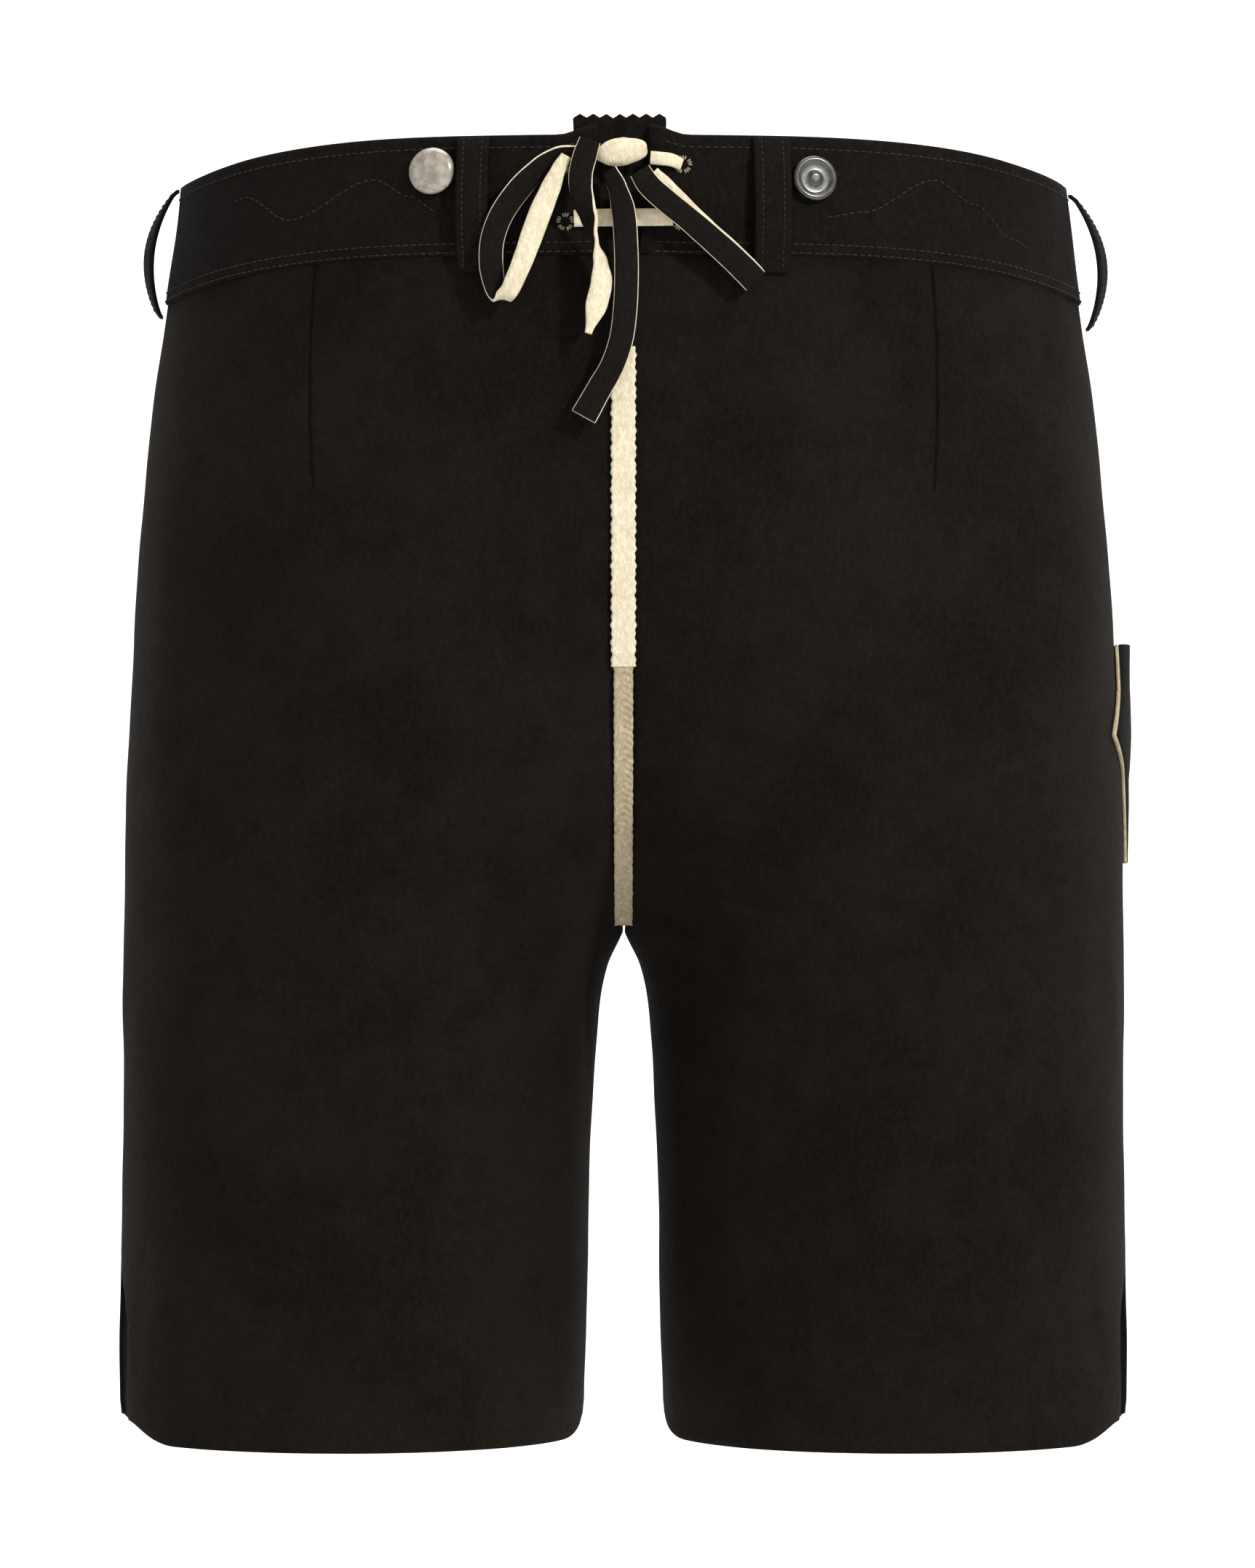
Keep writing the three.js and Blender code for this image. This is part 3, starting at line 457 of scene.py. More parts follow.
def hem_level(u, face):
    """Level of the hem along a panel: straight but for the rounded corners at vent and inseam."""
    turn = panel_turn(face, u, np.full(np.shape(u), HEM_BACK))
    ends = panel_turn(face, np.array([0.0, 1.0]), np.array([HEM_BACK, HEM_BACK]))
    corner = np.minimum(np.abs(turn - ends[0]), np.abs(turn - ends[1]))
    return HEM_BACK + HEM_RISE * (1 - smooth(corner, 0, math.radians(24)))


def small_relief(turn, z, side):
    """Little creases and the slight unevenness of a hide."""
    degrees = np.degrees(turn) + 3.0 * side
    height = np.zeros(np.broadcast(turn, z).shape)
    for turn0, z0, turn1, z1, width, top in CREASES:
        t = (z - z0 - 6 * side) / (z1 - z0)
        along = smooth(t, -0.2, 0.35) * (1 - smooth(t, 0.65, 1.2))
        across = (degrees - (turn0 + (turn1 - turn0) * t)) * 1.8 / width
        height = height + top * along * np.exp(-across * across)
    swell = np.sin(turn * 5.3 + z * 0.031 + side) * np.sin(z * 0.047 - turn * 2.1 + 2 * side)
    ripple = np.sin(turn * 13 - z * 0.083 + 3 * side) * np.sin(z * 0.11 + turn * 7)
    return height + 0.35 * swell + 0.12 * ripple


def panel_surface(face, side, turn, z, out=0.0):
    """Points in millimetres on the finished panel, moved out by out; side is 1 for the wearer's left."""
    points, normals = body_point(turn * face, z, 0.0)
    x, y = points[..., 0], points[..., 1]
    relief = small_relief(turn * face, z, side)
    in_body = smooth(z, FORK_Z - 10, FORK_Z + 25)
    relief = relief - 1.1 * np.exp(-((x / 3.4) ** 2)) * in_body
    if face > 0:
        dart = x - (DART_X - DART_BOW * (z - DART_MIDDLE) ** 2)
        pinched = smooth(z, -132, -112) * (1 - smooth(z, -44, -34) * 0.6)
        relief = relief - 1.0 * np.exp(-((dart / 3.2) ** 2)) * pinched
    relief = relief - 0.5 * np.exp(-(((HEM_BACK + 7.5 - z) / 3.0) ** 2))
    points = points + normals * (relief + out)[..., None]
    points[..., 0] = np.maximum(points[..., 0], SEAM_GAP / 2) * side
    return points


def make_panel(word, face, side):
    u, v = grid(PANEL_ROWS, PANEL_COLUMNS)
    top = top_edge(panel_turn(face, u, np.full(u.shape, -BAND_HEIGHT)) * face) - BAND_HEIGHT - SEAM_GAP
    z = panel_level(v, top, hem_level(u, face))
    turn = panel_turn(face, u, z)
    outer = panel_surface(face, side, turn, z)
    inner = panel_surface(face, side, turn, z, -SUEDE)
    name = ("back" if face > 0 else "front") + "_panel_" + word
    piece = shell("suede_" + name, outer, inner)
    finish_piece(piece, BROWN_SUEDE, "suede_brown", name)
    return piece


for word, side in (("left", 1), ("right", -1)):
    for face in (1, -1):
        make_panel(word, face, side)


# ---------------------------------------------------------------- waistband, its stitching and the eyelets
# A band of black-brown leather, cut in four, is top-stitched along both edges and wears a wavy row of
# decorative stitches; the two pairs of eyelets beside the notch are whipped with pale thread.
def simple_nodes(deep, raised, fleck, mottle=0.3, flecks=0.2, scale=1.0):
    """nodes_for of a plain piece: the nap with the given colours."""
    values = {"Deep": (*deep, 1), "Raised": (*raised, 1), "Fleck": (*fleck, 1)}
    values.update({"Mottle": mottle, "Flecks": flecks, "Nap Scale": scale})
    return lambda tree, where: nap_nodes(tree, where, **values)


BAND_LEATHER = principled(
    "black-brown band leather",
    simple_nodes((0.0024, 0.0016, 0.0012), (0.0072, 0.0050, 0.0036), (0.06, 0.045, 0.03), scale=0.8),
    0.15,
    specular=0.09,
)
DARK_THREAD = principled(
    "dark brown thread",
    simple_nodes((0.012, 0.009, 0.0065), (0.034, 0.026, 0.019), (0.06, 0.05, 0.04), scale=3.0),
    0.05,
)
PALE_THREAD = principled(
    "pale linen thread",
    simple_nodes((0.16, 0.13, 0.085), (0.34, 0.29, 0.2), (0.5, 0.44, 0.32), scale=3.0),
    0.05,
)
BAND_PROUD, BAND_THICK = 1.0, 2.6


def band_surface(face, side, u, v, out):
    u, v = np.broadcast_arrays(np.asarray(u, float), np.asarray(v, float))
    z = top_edge(face * math.pi / 2 * (1 - u)) - BAND_HEIGHT * v
    centre = np.maximum(notch_half(z), SEAM_GAP / 2) if face > 0 else SEAM_GAP / 2
    share = u**0.85
    turn = (turn_at_x(centre, z) * (1 - share) + half_gap(z) * share) * face
    z = top_edge(turn) - BAND_HEIGHT * v
    wave = 0.28 * np.sin(turn * 9 + side) * np.sin(z * 0.12 + turn * 4)
    points, normals = body_point(turn, z, out + wave)
    if face > 0:
        points[..., 2] += 4.5 * (1 - v) * (1 - smooth(points[..., 0], 9, 26))
    points[..., 0] = np.maximum(points[..., 0], SEAM_GAP / 2) * side
    normals[..., 0] *= side
    return points, normals


def stitches(name, rows, length, gap, radius, material, slot):
    """Rows of thread stitches; each row is (points, normals) along its path in millimetres."""
    points, faces, sides, rings = [], [], 6, 5
    for path, normals in rows:
        run = np.concatenate([[0], np.cumsum(np.linalg.norm(np.diff(path, axis=0), axis=1))])
        for start in np.arange(gap / 2, run[-1] - length, length + gap):
            at = start + length * np.linspace(0, 1, rings)
            middle = np.stack([np.interp(at, run, path[:, k]) for k in range(3)], -1)
            up = np.stack([np.interp(at, run, normals[:, k]) for k in range(3)], -1)
            along = np.gradient(middle, axis=0)
            across = np.cross(along, up)
            across /= np.linalg.norm(across, axis=1, keepdims=True)
            rise = np.sin(np.linspace(0.12, 0.88, rings) * math.pi)[:, None]
            base = len(points)
            for k in range(sides):
                a = 2 * math.pi * k / sides
                ring = middle + (across * math.cos(a) + up * (math.sin(a) + 0.5)) * radius * rise
                points.extend(ring)
            for k in range(sides):
                m = (k + 1) % sides
                for r in range(rings - 1):
                    p, q = base + k * rings + r, base + m * rings + r
                    faces.append((p, q, q + 1, p + 1))
            faces.append(tuple(base + k * rings for k in reversed(range(sides))))
            faces.append(tuple(base + k * rings + rings - 1 for k in range(sides)))
    piece = mesh_object(name, points, faces)
    return finish_piece(piece, material, slot)


def make_band(word, face, side):
    u, v = grid(26, 110)
    outer, _ = band_surface(face, side, u, v, BAND_PROUD)
    inner, _ = band_surface(face, side, u, v, BAND_PROUD - BAND_THICK)
    name = "waistband_" + ("back_" if face > 0 else "front_") + word
    piece = finish_piece(shell("leather_" + name, outer, inner), BAND_LEATHER, "band_black", name)


band_rows = []
for word, side in (("left", 1), ("right", -1)):
    for face in (1, -1):
        make_band(word, face, side)
        for level in (0.098, 0.91, 0.985):
            run = np.linspace(0.01, 0.99, 160)
            band_rows.append(band_surface(face, side, run, np.full(160, level), 1.02))
stitches("thread_band_rows", band_rows, 2.3, 0.9, 0.3, DARK_THREAD, "band_black")

LEFT_WAVE = [(156, -9.7), (151, -8.2), (133, -18.6), (98.8, -3.9), (84, -11), (73, -17.6)]
RIGHT_WAVE = [(-79.8, -19.3), (-94.6, -16.9), (-123.5, -3), (-140, -12), (-155, -24.7), (-163.6, -28.4)]
wave_rows = []
for wave in (LEFT_WAVE, RIGHT_WAVE):
    knots = np.array(wave, float)
    t = np.linspace(0, len(knots) - 1, 90)
    i = np.minimum(t.astype(int), len(knots) - 2)
    x = np.interp(t, range(len(knots)), knots[:, 0])
    z = knots[i, 1] + (knots[i + 1, 1] - knots[i, 1]) * smooth(t - i, 0, 1)
    wave_rows.append(at_x(x, z, 1.1))
stitches("thread_wave", wave_rows, 2.2, 1.0, 0.3, DARK_THREAD, "band_black")


def eyelet_rows():
    """Whipping that goes out from the hole all round."""
    rows = []
    for x, z in ((23.4, 0.8), (22.8, -22), (-23.4, 0.8), (-22.8, -22)):
        for a in np.linspace(0, 2 * math.pi, 20, endpoint=False):
            reach = np.array([1.9, 2.9, 3.9 + 0.3 * math.sin(5 * a)])
            rows.append(at_x(x + reach * math.cos(a), z + reach * math.sin(a), 1.05))
    return rows


stitches("thread_eyelets", eyelet_rows(), 1.7, 0.15, 0.42, PALE_THREAD, "band_black")

# ---------------------------------------------------------------- tongue and fall flap
# A pinked leather tongue fills the notch from behind, with a fold down its middle; in front a plain
# button-on flap hangs from the band, as it does on such breeches.

def tongue_surface(u, v, out):
    half = 1 - 0.25 * v
    x = (-17 + 37 * u) * half
    tooth = 1.6 * np.abs(((u * 7) % 1) - 0.5) * 2
    z = 21.5 - tooth * (1 - v) + (-80 - 21.5) * v
    crease = 1.6 * np.exp(-(((x - 4) / 3) ** 2))
    points, _ = at_x(x, np.minimum(z, 24), out - 2.6 - crease)
    return points


u, v = grid(60, 85)
tongue = shell("leather_back_tongue", tongue_surface(u, v, 0), tongue_surface(u, v, -1.4))
finish_piece(tongue, BAND_LEATHER, "band_black", "back_tongue")


def flap_surface(u, v, out):
    x = (2 * u - 1) * (76 - 6 * v)
    band_top = top_edge(-turn_at_x(np.abs(x), -20.0))
    z = band_top - 3 + (-196 - band_top + 3) * v
    foot = band_top - BAND_HEIGHT
    step = 1.0 * smooth(z, foot - 16, foot - 0.3)
    ripple = 0.4 * np.sin(x * 0.06 + 1) * np.sin(z * 0.05)
    points, _ = at_x(x, z, out + step + 2.2 + np.maximum(ripple, 0), -1)
    return points


u, v = grid(90, 90)
flap = shell("suede_fall_flap", flap_surface(u, v, 0), flap_surface(u, v, -1.8))
finish_piece(flap, BROWN_SUEDE, "suede_brown", "fall_flap")


# ---------------------------------------------------------------- seat welt
# A strip of cream hide is caught in the seat seam: broad and flat above, with fuzzy sides, and plaited narrow
# below, where the seat curves in.
def welt_surface(wide, top, bottom, u, v, out, plait):
    z = top + (bottom - top) * v
    x = (2 * u - 1) * wide / 2
    edge = 0.25 * np.sin(z * 1.9) + 0.2 * np.sin(z * 0.83 + 1)
    bed, normals = at_x(np.full(z.shape, wide / 2), z, 0)
    lift = np.sin(z * 2.4 + np.abs(x) * 1.4) * 0.3 * plait
    points = np.stack([x + edge * (2 * u - 1) * (1 - 0.6 * plait), bed[..., 1], z], -1)
    rise = out + lift * (out > 1.5)
    points[..., 1] += rise * normals[..., 1]
    points[..., 2] += rise * normals[..., 2]
    return points


CREAM_FLESH = principled(
    "cream flesh side",
    simple_nodes((0.5, 0.42, 0.28), (0.78, 0.71, 0.54), (0.36, 0.29, 0.18), mottle=0.35, flecks=0.5),
    0.2,
    specular=0.1,
)
OLD_CREAM = principled(
    "darker cream hide",
    simple_nodes((0.26, 0.2, 0.12), (0.52, 0.44, 0.3), (0.2, 0.15, 0.09), mottle=0.3, flecks=0.6),
    0.25,
    specular=0.1,
)
for name, wide, top, bottom, plait, material in (
    ("seat_welt_upper", 8.9, -72, -197, 0.0, CREAM_FLESH),
    ("seat_welt_lower", 7.0, -197.3, -300, 1.0, OLD_CREAM),
):
    u, v = grid(220, 13)
    face = [welt_surface(wide, top, bottom, u, v, out, plait) for out in (2.3, 0.5)]
    piece = finish_piece(shell("cream_" + name, *face), material, "trim_cream", name)


# ---------------------------------------------------------------- belt loops
# Four straps of the band's leather stand off the band, two at the back and two at the sides, and are sewn
# through the band at both ends.
def back_loop(x0, width, u, v, out):
    x = x0 + (u - 0.5) * width
    top = top_edge(turn_at_x(abs(x0), 0.0)) - 0.5
    z = top - 54 * v
    points, normals = at_x(x, z, 3.0 + 4.5 * np.sin(math.pi * np.clip(v, 0, 1)) ** 0.7 + out)
    return points, normals


def side_loop(side, stand, z0, z1, u, v, out):
    turn = np.radians(2.5 + 6.4 * (u - 0.5))
    z = z0 + (z1 - z0) * v
    rise = 3.0 + np.sin(math.pi * np.clip(v, 0, 1)) ** 0.75 * (stand - 2.8 * (u - 0.5))
    points, normals = body_point(turn, z, rise + out)
    points[..., 0] *= side
    normals[..., 0] *= side
    return points, normals


LOOPS = {
    "belt_loop_back_left": lambda u, v, out: back_loop(58.6, 11.8, u, v, out),
    "belt_loop_back_right": lambda u, v, out: back_loop(-57.8, 13.6, u, v, out),
    "belt_loop_side_left": lambda u, v, out: side_loop(1, 8.6, -1, -53, u, v, out),
    "belt_loop_side_right": lambda u, v, out: side_loop(-1, 9.8, -3, -58, u, v, out),
}
loop_rows = []
for name, surface in LOOPS.items():
    u, v = grid(50, 12)
    outer, inner = surface(u, v, 0)[0], surface(u, v, -1.6)[0]
    piece = finish_piece(shell("leather_" + name, outer, inner), BAND_LEATHER, "band_black", name)
    for u0 in (0.2, 0.8):
        loop_rows.append(surface(np.full(60, u0), np.linspace(0.02, 0.98, 60), 0.05))
stitches("thread_belt_loops", loop_rows, 1.7, 0.8, 0.26, DARK_THREAD, "band_black")


# ---------------------------------------------------------------- buttons
# Turned horn and shell buttons stand on short shanks of thread: one pale dome, the others slate with a
# dished middle.
def button_nodes(deep, raised):
    def nodes(tree, where):
        clouds = noise(tree, where, 260, 4, 0.6)
        colour = mix_colour(tree, ranged(tree, clouds, 0.35, 0.65), (*deep, 1), (*raised, 1))
        return colour, maths(tree, "MULTIPLY_ADD", clouds, 0.15, 0.2), clouds

    return nodes


PEARL = principled(
    "pale shell", button_nodes((0.2, 0.17, 0.13), (0.34, 0.31, 0.26)), 0.05, specular=0.5, coat=0.5
)
SLATE = principled(
    "slate horn", button_nodes((0.018, 0.018, 0.015), (0.045, 0.044, 0.038)), 0.05, specular=0.5, coat=0.4
)
# radius and height of each profile, from the middle of the shank's foot to the middle of the face
SHANK = [(0, 0), (2.6, 0), (2.6, 1.3)]
DOMED = SHANK + [(8.4, 1.7), (9.4, 2.4), (9.2, 3.2), (7.6, 4.5), (5.2, 5.4), (2.4, 5.8), (0, 5.8)]
DISHED = SHANK + [
    (8.2, 1.7), (9, 2.6), (8.7, 3.6), (8.1, 3.9), (7.4, 4), (6.8, 3.7), (6.4, 3.2),
    (4.6, 3.1), (2.6, 3.2), (2.2, 3.8), (0, 3.8),
]


def make_button(name, profile, x, z, seat, face, material, slot):
    points, normals = at_x(np.array([x]), np.array([z]), seat, face)
    centre, up = points[0], normals[0]
    across = np.cross([0, 0, 1], up)
    across /= np.linalg.norm(across)
    lift = np.cross(up, across)
    ring = np.linspace(0, 2 * math.pi, 48, endpoint=False)
    fine = []
    for (r0, h0), (r1, h1) in zip(profile, profile[1:]):
        fine += [(r0 + (r1 - r0) * t, h0 + (h1 - h0) * t) for t in (0, 0.5)]
    fine = fine[1:] + [(0.05, profile[-1][1])]
    mesh_points = [
        centre + across * r * math.cos(a) + lift * r * math.sin(a) + up * h for r, h in fine for a in ring
    ]
    n = len(ring)
    faces = [
        (i * n + k, i * n + (k + 1) % n, (i + 1) * n + (k + 1) % n, (i + 1) * n + k)
        for i in range(len(fine) - 1)
        for k in range(n)
    ]
    faces += [tuple(reversed(range(n))), tuple(range((len(fine) - 1) * n, len(fine) * n))]
    finish_piece(mesh_object("button_" + name, mesh_points, faces), material, slot, name)


make_button("brace_button_back_left", DOMED, 74.8, -1.5, 1.4, 1, PEARL, "button_pearl")
make_button("brace_button_back_right", DISHED, -74.6, -4.4, 1.4, 1, SLATE, "button_slate")
for word, side in (("left", 1), ("right", -1)):
    make_button("brace_button_front_" + word, DISHED, 98 * side, -32, 1.4, -1, SLATE, "button_slate")
    make_button("flap_button_" + word, DISHED, 64 * side, -33, 3.6, -1, SLATE, "button_slate")

# ---------------------------------------------------------------- knife pocket
# A narrow pocket for a knife is sewn over the right side seam, with a strip of cream hide along its back
# edge; only that edge and the pocket's outline show, and its form is a guess.
POCKET_LEVELS = np.array([-187, -204, -224, -242, -252, -276], float)
POCKET_TURNS = np.array([7, 8, 19, 4.5, 5.5, 2.5], float)
POCKET_TOP, POCKET_DEEP, LAY_GAP = -187, 89, 0.4


def pocket_edge(z):
    return np.interp(-z, -POCKET_LEVELS, POCKET_TURNS)


def pocket_surface(u, v, out):
    z = POCKET_TOP - POCKET_DEEP * v
    turn = np.radians(-13 * (1 - u) + pocket_edge(z) * u)
    standing = 5.2 + (0.8 - 5.2) * np.clip(v, 0, 1) ** 0.8
    rise = LAY_GAP + SUEDE + standing * np.sin(math.pi * np.clip(u, 0, 1)) ** 0.7
    points, _ = body_point(turn, z, rise + out)
    points[..., 0] *= -1
    return points


def edging_surface(u, v, out):
    z = POCKET_TOP - POCKET_DEEP * v
    turn = np.radians(pocket_edge(z) + 0.2 + (1 - u) * 1.5)
    points, _ = body_point(turn, z, 1.8 + out)
    points[..., 0] *= -1
    return points


u, v = grid(70, 24)
pocket = shell("leather_knife_pocket", pocket_surface(u, v, 0), pocket_surface(u, v, -1.8))
finish_piece(pocket, BAND_LEATHER, "band_black", "knife_pocket")
u, v = grid(80, 6)
edging = shell("cream_knife_pocket_edging", edging_surface(u, v, 0), edging_surface(u, v, -1.4))
finish_piece(edging, OLD_CREAM, "trim_cream", "knife_pocket_edging")

# ---------------------------------------------------------------- lace
# One flat black leather lace with cream flesh and edges runs across between the lower eyelets, up through the
# upper ones, and is tied in a bow with two loops and two free ends.
LACE_BLACK = principled(
    "black lace leather",
    simple_nodes((0.0034, 0.0024, 0.0018), (0.0085, 0.0062, 0.0044), (0.07, 0.05, 0.035), scale=1.2),
    0.12,
    specular=0.1,
)
LACE_WIDTH, LACE_THICK = 9.6, 1.8
ROUTES = {
    # x, out from the surface, z, across angle, tip angle, width
    "lace_crossing": [
        (19.5, 3.0, -20.7, 90, 0, 0.7), (13, 3.2, -20.5, 90, 0, 0.72), (0, 3.4, -20.4, 90, 0, 0.72),
        (-10, 3.2, -20.3, 90, 0, 0.72), (-19.5, 3.1, -20.2, 90, 0, 0.7),
    ],
    "lace_to_eyelet_left": [
        (11.9, 4.6, 4.0, 80, 0, 0.55), (15.5, 4.4, 3.9, 84, 0, 0.55), (19, 3.4, 3.1, 88, 0, 0.55),
        (22.5, 2.7, 1.6, 90, 0, 0.5),
    ],
    "lace_to_eyelet_right": [
        (-10.6, 5.8, 3.2, 90, 0, 0.55), (-14.5, 5.6, 2.9, 90, 0, 0.55), (-19, 4.2, 2.4, 88, 0, 0.55),
        (-22.8, 2.7, 0.8, 80, 0, 0.5),
    ],
    "lace_loop_left": [
        (16.5, 7.4, 5.6, 64, 20, 0.5), (25.8, 7, 4.4, 58, 30, 0.7), (33.2, 7.4, -0.8, 50, 24, 0.9),
        (41.6, 8.8, -9.9, 44, 10, 1), (48.2, 9.8, -19.8, 30, 4, 1), (51.6, 10, -29.6, 12, 0, 1),
        (52, 9.6, -39.5, -4, 0, 1), (50.4, 8.8, -48, -14, 0, 0.9), (48, 9.6, -52.2, 0, 0, 0.8),
        (45.2, 12, -50.4, 14, 0, 0.75), (42, 13.2, -44, 20, 0, 0.8), (38.6, 13.4, -35.6, 22, 0, 0.86),
        (35.6, 13.2, -27, 22, 0, 0.92), (32.4, 12.6, -18.4, 23, 0, 0.92), (28.8, 11.4, -9.6, 25, 0, 0.82),
        (25.4, 10.8, -1.6, 30, 0, 0.6), (22.6, 10.2, 3.6, 36, 0, 0.45),
    ],
    "lace_loop_right": [
        (-6.4, 12.2, -2.6, -24, 0, 0.9), (-9.8, 12.4, -8, -34, 0, 0.98), (-16.6, 12.2, -14.3, -47, 0, 1),
        (-24.4, 11.8, -20.6, -51, 0, 1), (-32.8, 11.2, -27.8, -50, 0, 1.04),
        (-41.6, 10.4, -35.6, -48, 0, 1.08),
        (-48.8, 10.8, -42.6, -46, 0, 1.1), (-51.6, 9, -45.4, -46, 0, 1.1), (-49.2, 7.2, -42.4, -46, 0, 1.1),
        (-41.6, 6.9, -34.6, -46, 0, 1.06), (-32.2, 6.8, -25.8, -47, 0, 1), (-23.6, 7, -16.8, -48, 0, 0.9),
        (-16.2, 8.8, -8.4, -48, 0, 0.75), (-11.4, 9, -3.2, -50, 0, 0.6),
    ],
    "lace_end_short": [
        (13.2, 11.6, 9.6, 24, 0, 0.9), (15.2, 12.4, 3.2, 20, 0, 1), (16.8, 12.9, -4.2, 6, -6, 1),
        (16.2, 13.1, -12.4, -11, -22, 1), (13.6, 13, -20.8, -17, -50, 1), (11, 13, -29.6, -16, -84, 1),
        (9, 12.8, -38.2, -8, -118, 1), (8.6, 12.6, -46.6, 5, -146, 1), (10.4, 12.6, -55, 14, -160, 0.95),
        (13.8, 12.8, -67, 16, -168, 0.3),
    ],
    "lace_end_long": [
        (5.6, 9.6, -2.2, -28, -20, 0.7), (2.4, 10.4, -9, -22, -12, 0.8), (0, 10.6, -18.7, -10, -4, 1),
        (-1, 10.2, -31.8, -3, 0, 1), (-1.2, 9.8, -45, 0, 0, 1), (-0.6, 9.4, -58.2, 4, 0, 1),
        (1, 9.2, -69.6, 13, 0, 1), (4.4, 9, -79.6, 24, 0, 1), (9.4, 9, -88.6, 29, 0, 1.04),
        (15.6, 9.2, -99.8, 28, 0, 1.1),
    ],
}


def curve(points, steps):
    """A centripetal Catmull-Rom through the points, and the place of each step among them."""
    ends = np.concatenate([[2 * points[0] - points[1]], points, [2 * points[-1] - points[-2]]])
    knots = np.concatenate([[0], np.cumsum(np.linalg.norm(np.diff(ends, axis=0), axis=1) ** 0.5)])
    t = np.linspace(0, len(points) - 1, steps)
    i = np.minimum(t.astype(int), len(points) - 2)
    at = knots[i + 1] + (knots[i + 2] - knots[i + 1]) * (t - i)
    p = [ends[i + k] for k in range(4)]
    s = [knots[i + k] for k in range(4)]

    def blend(a, b, sa, sb):
        w = ((at - sa) / (sb - sa))[:, None]
        return a * (1 - w) + b * w

    a1, a2, a3 = (blend(p[k], p[k + 1], s[k], s[k + 1]) for k in range(3))
    b1, b2 = blend(a1, a2, s[0], s[2]), blend(a2, a3, s[1], s[3])
    return blend(b1, b2, s[1], s[2]), t


def lace_frame(route):
    rows = np.array(route, float)
    surface = at_x(rows[:, 0], rows[:, 2])[0]
    through = np.stack([rows[:, 0], surface[:, 1] + rows[:, 1], rows[:, 2]], -1)
    path, t = curve(through, 12 * (len(rows) - 1) + 1)
    i = np.minimum(t.astype(int), len(rows) - 2)
    share = smooth(t - i, 0, 1)[:, None]
    across, tip, width = (rows[i, 3:] * (1 - share) + rows[i + 1, 3:] * share).T
    across, tip = np.radians(across), np.radians(tip)
    wide = np.stack([np.cos(tip) * np.cos(across), np.sin(tip), np.cos(tip) * np.sin(across)], -1)
    along = np.gradient(path, axis=0)
    along /= np.linalg.norm(along, axis=1, keepdims=True)
    wide -= along * (wide * along).sum(1, keepdims=True)
    wide /= np.linalg.norm(wide, axis=1, keepdims=True)
    return path, wide, np.cross(wide, along), width


def make_lace(node, exit_point=None):
    """A flat strap of rounded section: dark outer face, cream flesh side and cut edges."""
    path, wide, face, width = lace_frame(ROUTES[node])
    section = [
        (-0.5, 0), (-0.47, 0.42), (-0.3, 0.5), (0.3, 0.5), (0.47, 0.42), (0.5, 0), (0.47, -0.42),
        (0.2, -0.5), (-0.2, -0.5), (-0.47, -0.42),
    ]
    n = len(section)
    points = np.stack(
        [path + wide * (a * LACE_WIDTH * width)[:, None] + face * b * LACE_THICK for a, b in section], 1
    ).reshape(-1, 3)
    faces, cream = [], []
    for r in range(len(path) - 1):
        for k in range(n):
            m = (k + 1) % n
            faces.append((r * n + k, r * n + m, (r + 1) * n + m, (r + 1) * n + k))
            cream.append(0 if k in (1, 2, 3) else 1)
    last = (len(path) - 1) * n
    faces += [tuple(reversed(range(n))), tuple(range(last, last + n))]
    cream += [1, 1]
    piece = mesh_object("strap_" + node, points, faces)
    finish_piece(piece, [LACE_BLACK, CREAM_FLESH], "lace_black", node)
    piece.data.polygons.foreach_set("material_index", cream)


make_lace("lace_crossing")
make_lace("lace_to_eyelet_left")
make_lace("lace_to_eyelet_right")
make_lace("lace_loop_left")
make_lace("lace_loop_right")
make_lace("lace_end_short")
make_lace("lace_end_long")


def make_knot():
    """The wrap at the middle of the bow: the lace's flesh side, in shallow slanting folds."""
    u, v = grid(28, 48)
    polar, around = math.pi * (0.02 + 0.96 * v), 2 * math.pi * u
    fold = 1 + 0.035 * np.sin(around * 3 + polar * 5)
    x = 10.6 * np.sin(polar) * np.cos(around) * fold
    y = 4.6 * np.sin(polar) * np.sin(around)
    z = 5.4 * np.cos(polar) * fold
    tilt = math.radians(8)
    depth = at_x(np.array([0.8]), np.array([5.4]))[0][0, 1] + 7.2
    level = 5.4 - x * math.sin(tilt) + z * math.cos(tilt)
    points = np.stack([0.8 + x * math.cos(tilt) + z * math.sin(tilt), depth + y, level], -1)
    rows, columns = points.shape[:2]
    at = np.arange(rows * columns).reshape(rows, columns)[:, :-1]
    ahead = np.roll(at, -1, axis=1)
    faces = list(np.stack([at[:-1], ahead[:-1], ahead[1:], at[1:]], -1).reshape(-1, 4))
    faces += [tuple(at[0][::-1]), tuple(at[-1])]
    piece = mesh_object("strap_lace_knot", points.reshape(-1, 3), faces)
    piece.data.validate()
    finish_piece(piece, CREAM_FLESH, "trim_cream", "lace_knot")


make_knot()


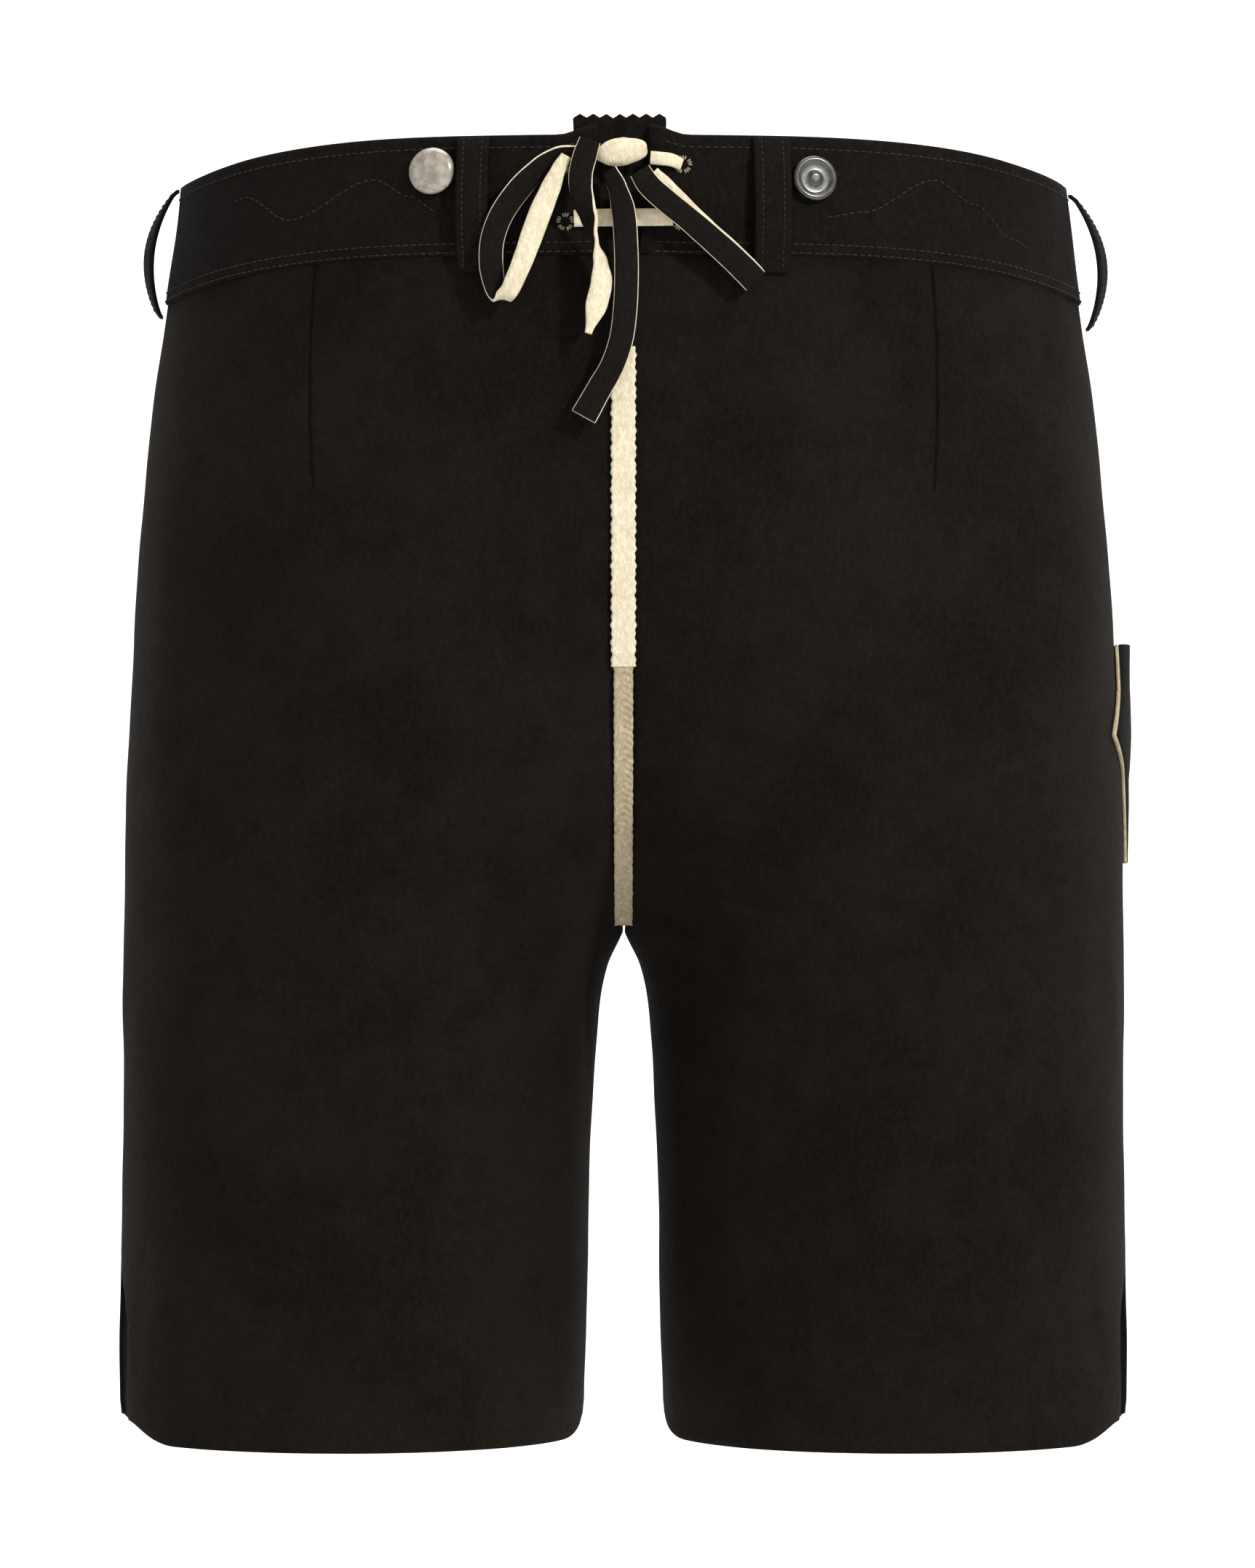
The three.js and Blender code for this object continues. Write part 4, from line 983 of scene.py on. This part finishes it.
# ---------------------------------------------------------------- stage, light and camera
def make_stage():
    """A pale floor that sweeps up into a pale backdrop."""
    floor, back, radius = -0.86, -1.7, 0.7
    turns = np.linspace(0, math.pi / 2, 12)
    bend = [(back + radius * (1 - math.sin(a)), floor + radius * (1 - math.cos(a))) for a in turns]
    profile = [(4.6, floor)] + bend + [(back, 3.4)]
    points = [(x * 1000, y * 1000, z * 1000) for x in (-5, 5) for y, z in profile]
    n = len(profile)
    faces = [(k, k + 1, n + k + 1, n + k) for k in range(n - 1)]
    sweep = mesh_object("stage_sweep", points, faces)
    paper = principled("pale paper", lambda tree, where: ((0.9, 0.9, 0.9, 1), 0.9, None), specular=0.0)
    sweep.data.materials.append(paper)


def make_lamp(name, place, aim, size, power, colour=(1, 1, 1)):
    data = bpy.data.lights.new(name, "AREA")
    data.shape = "DISK"
    data.size = size
    data.energy = power
    data.color = colour
    lamp = bpy.data.objects.new(name, data)
    lamp.location = place
    direction = np.array(aim, float) - np.array(place, float)
    lamp.rotation_euler = Vector(direction).to_track_quat("-Z", "Y").to_euler()
    bpy.context.scene.collection.objects.link(lamp)


make_stage()
make_lamp("key", (-1.9, 2.4, 1.5), (0, 0.1, -0.2), 0.4, 100)
make_lamp("fill_left", (2.6, 2.2, 0.4), (0, 0, -0.25), 2.2, 8)
make_lamp("front", (0.2, 3.6, 0.3), (0, 0, -0.25), 2.6, 10)
make_lamp("backdrop", (0, -0.6, 2.6), (0, -1.7, 0.4), 2.5, 75)

world = bpy.data.worlds.new("soft room")
world.use_nodes = True
world.node_tree.nodes["Background"].inputs["Color"].default_value = (1, 1, 1, 1)
world.node_tree.nodes["Background"].inputs["Strength"].default_value = 0.55
bpy.context.scene.world = world
bpy.context.scene.view_settings.view_transform = "Standard"

CAMERA_DISTANCE, CAMERA_X, CAMERA_Z, FRAME_HEIGHT = 3.0, -0.0016, -0.2436, 0.6436
camera_data = bpy.data.cameras.new("camera")
camera_data.sensor_fit = "VERTICAL"
camera_data.sensor_height = 36
camera_data.lens = 36 * CAMERA_DISTANCE / FRAME_HEIGHT
camera_data.clip_end = 50
camera = bpy.data.objects.new("camera", camera_data)
camera.location = (CAMERA_X, CAMERA_DISTANCE, CAMERA_Z)
camera.rotation_euler = (math.pi / 2, 0, math.pi)
bpy.context.scene.collection.objects.link(camera)
bpy.context.scene.camera = camera
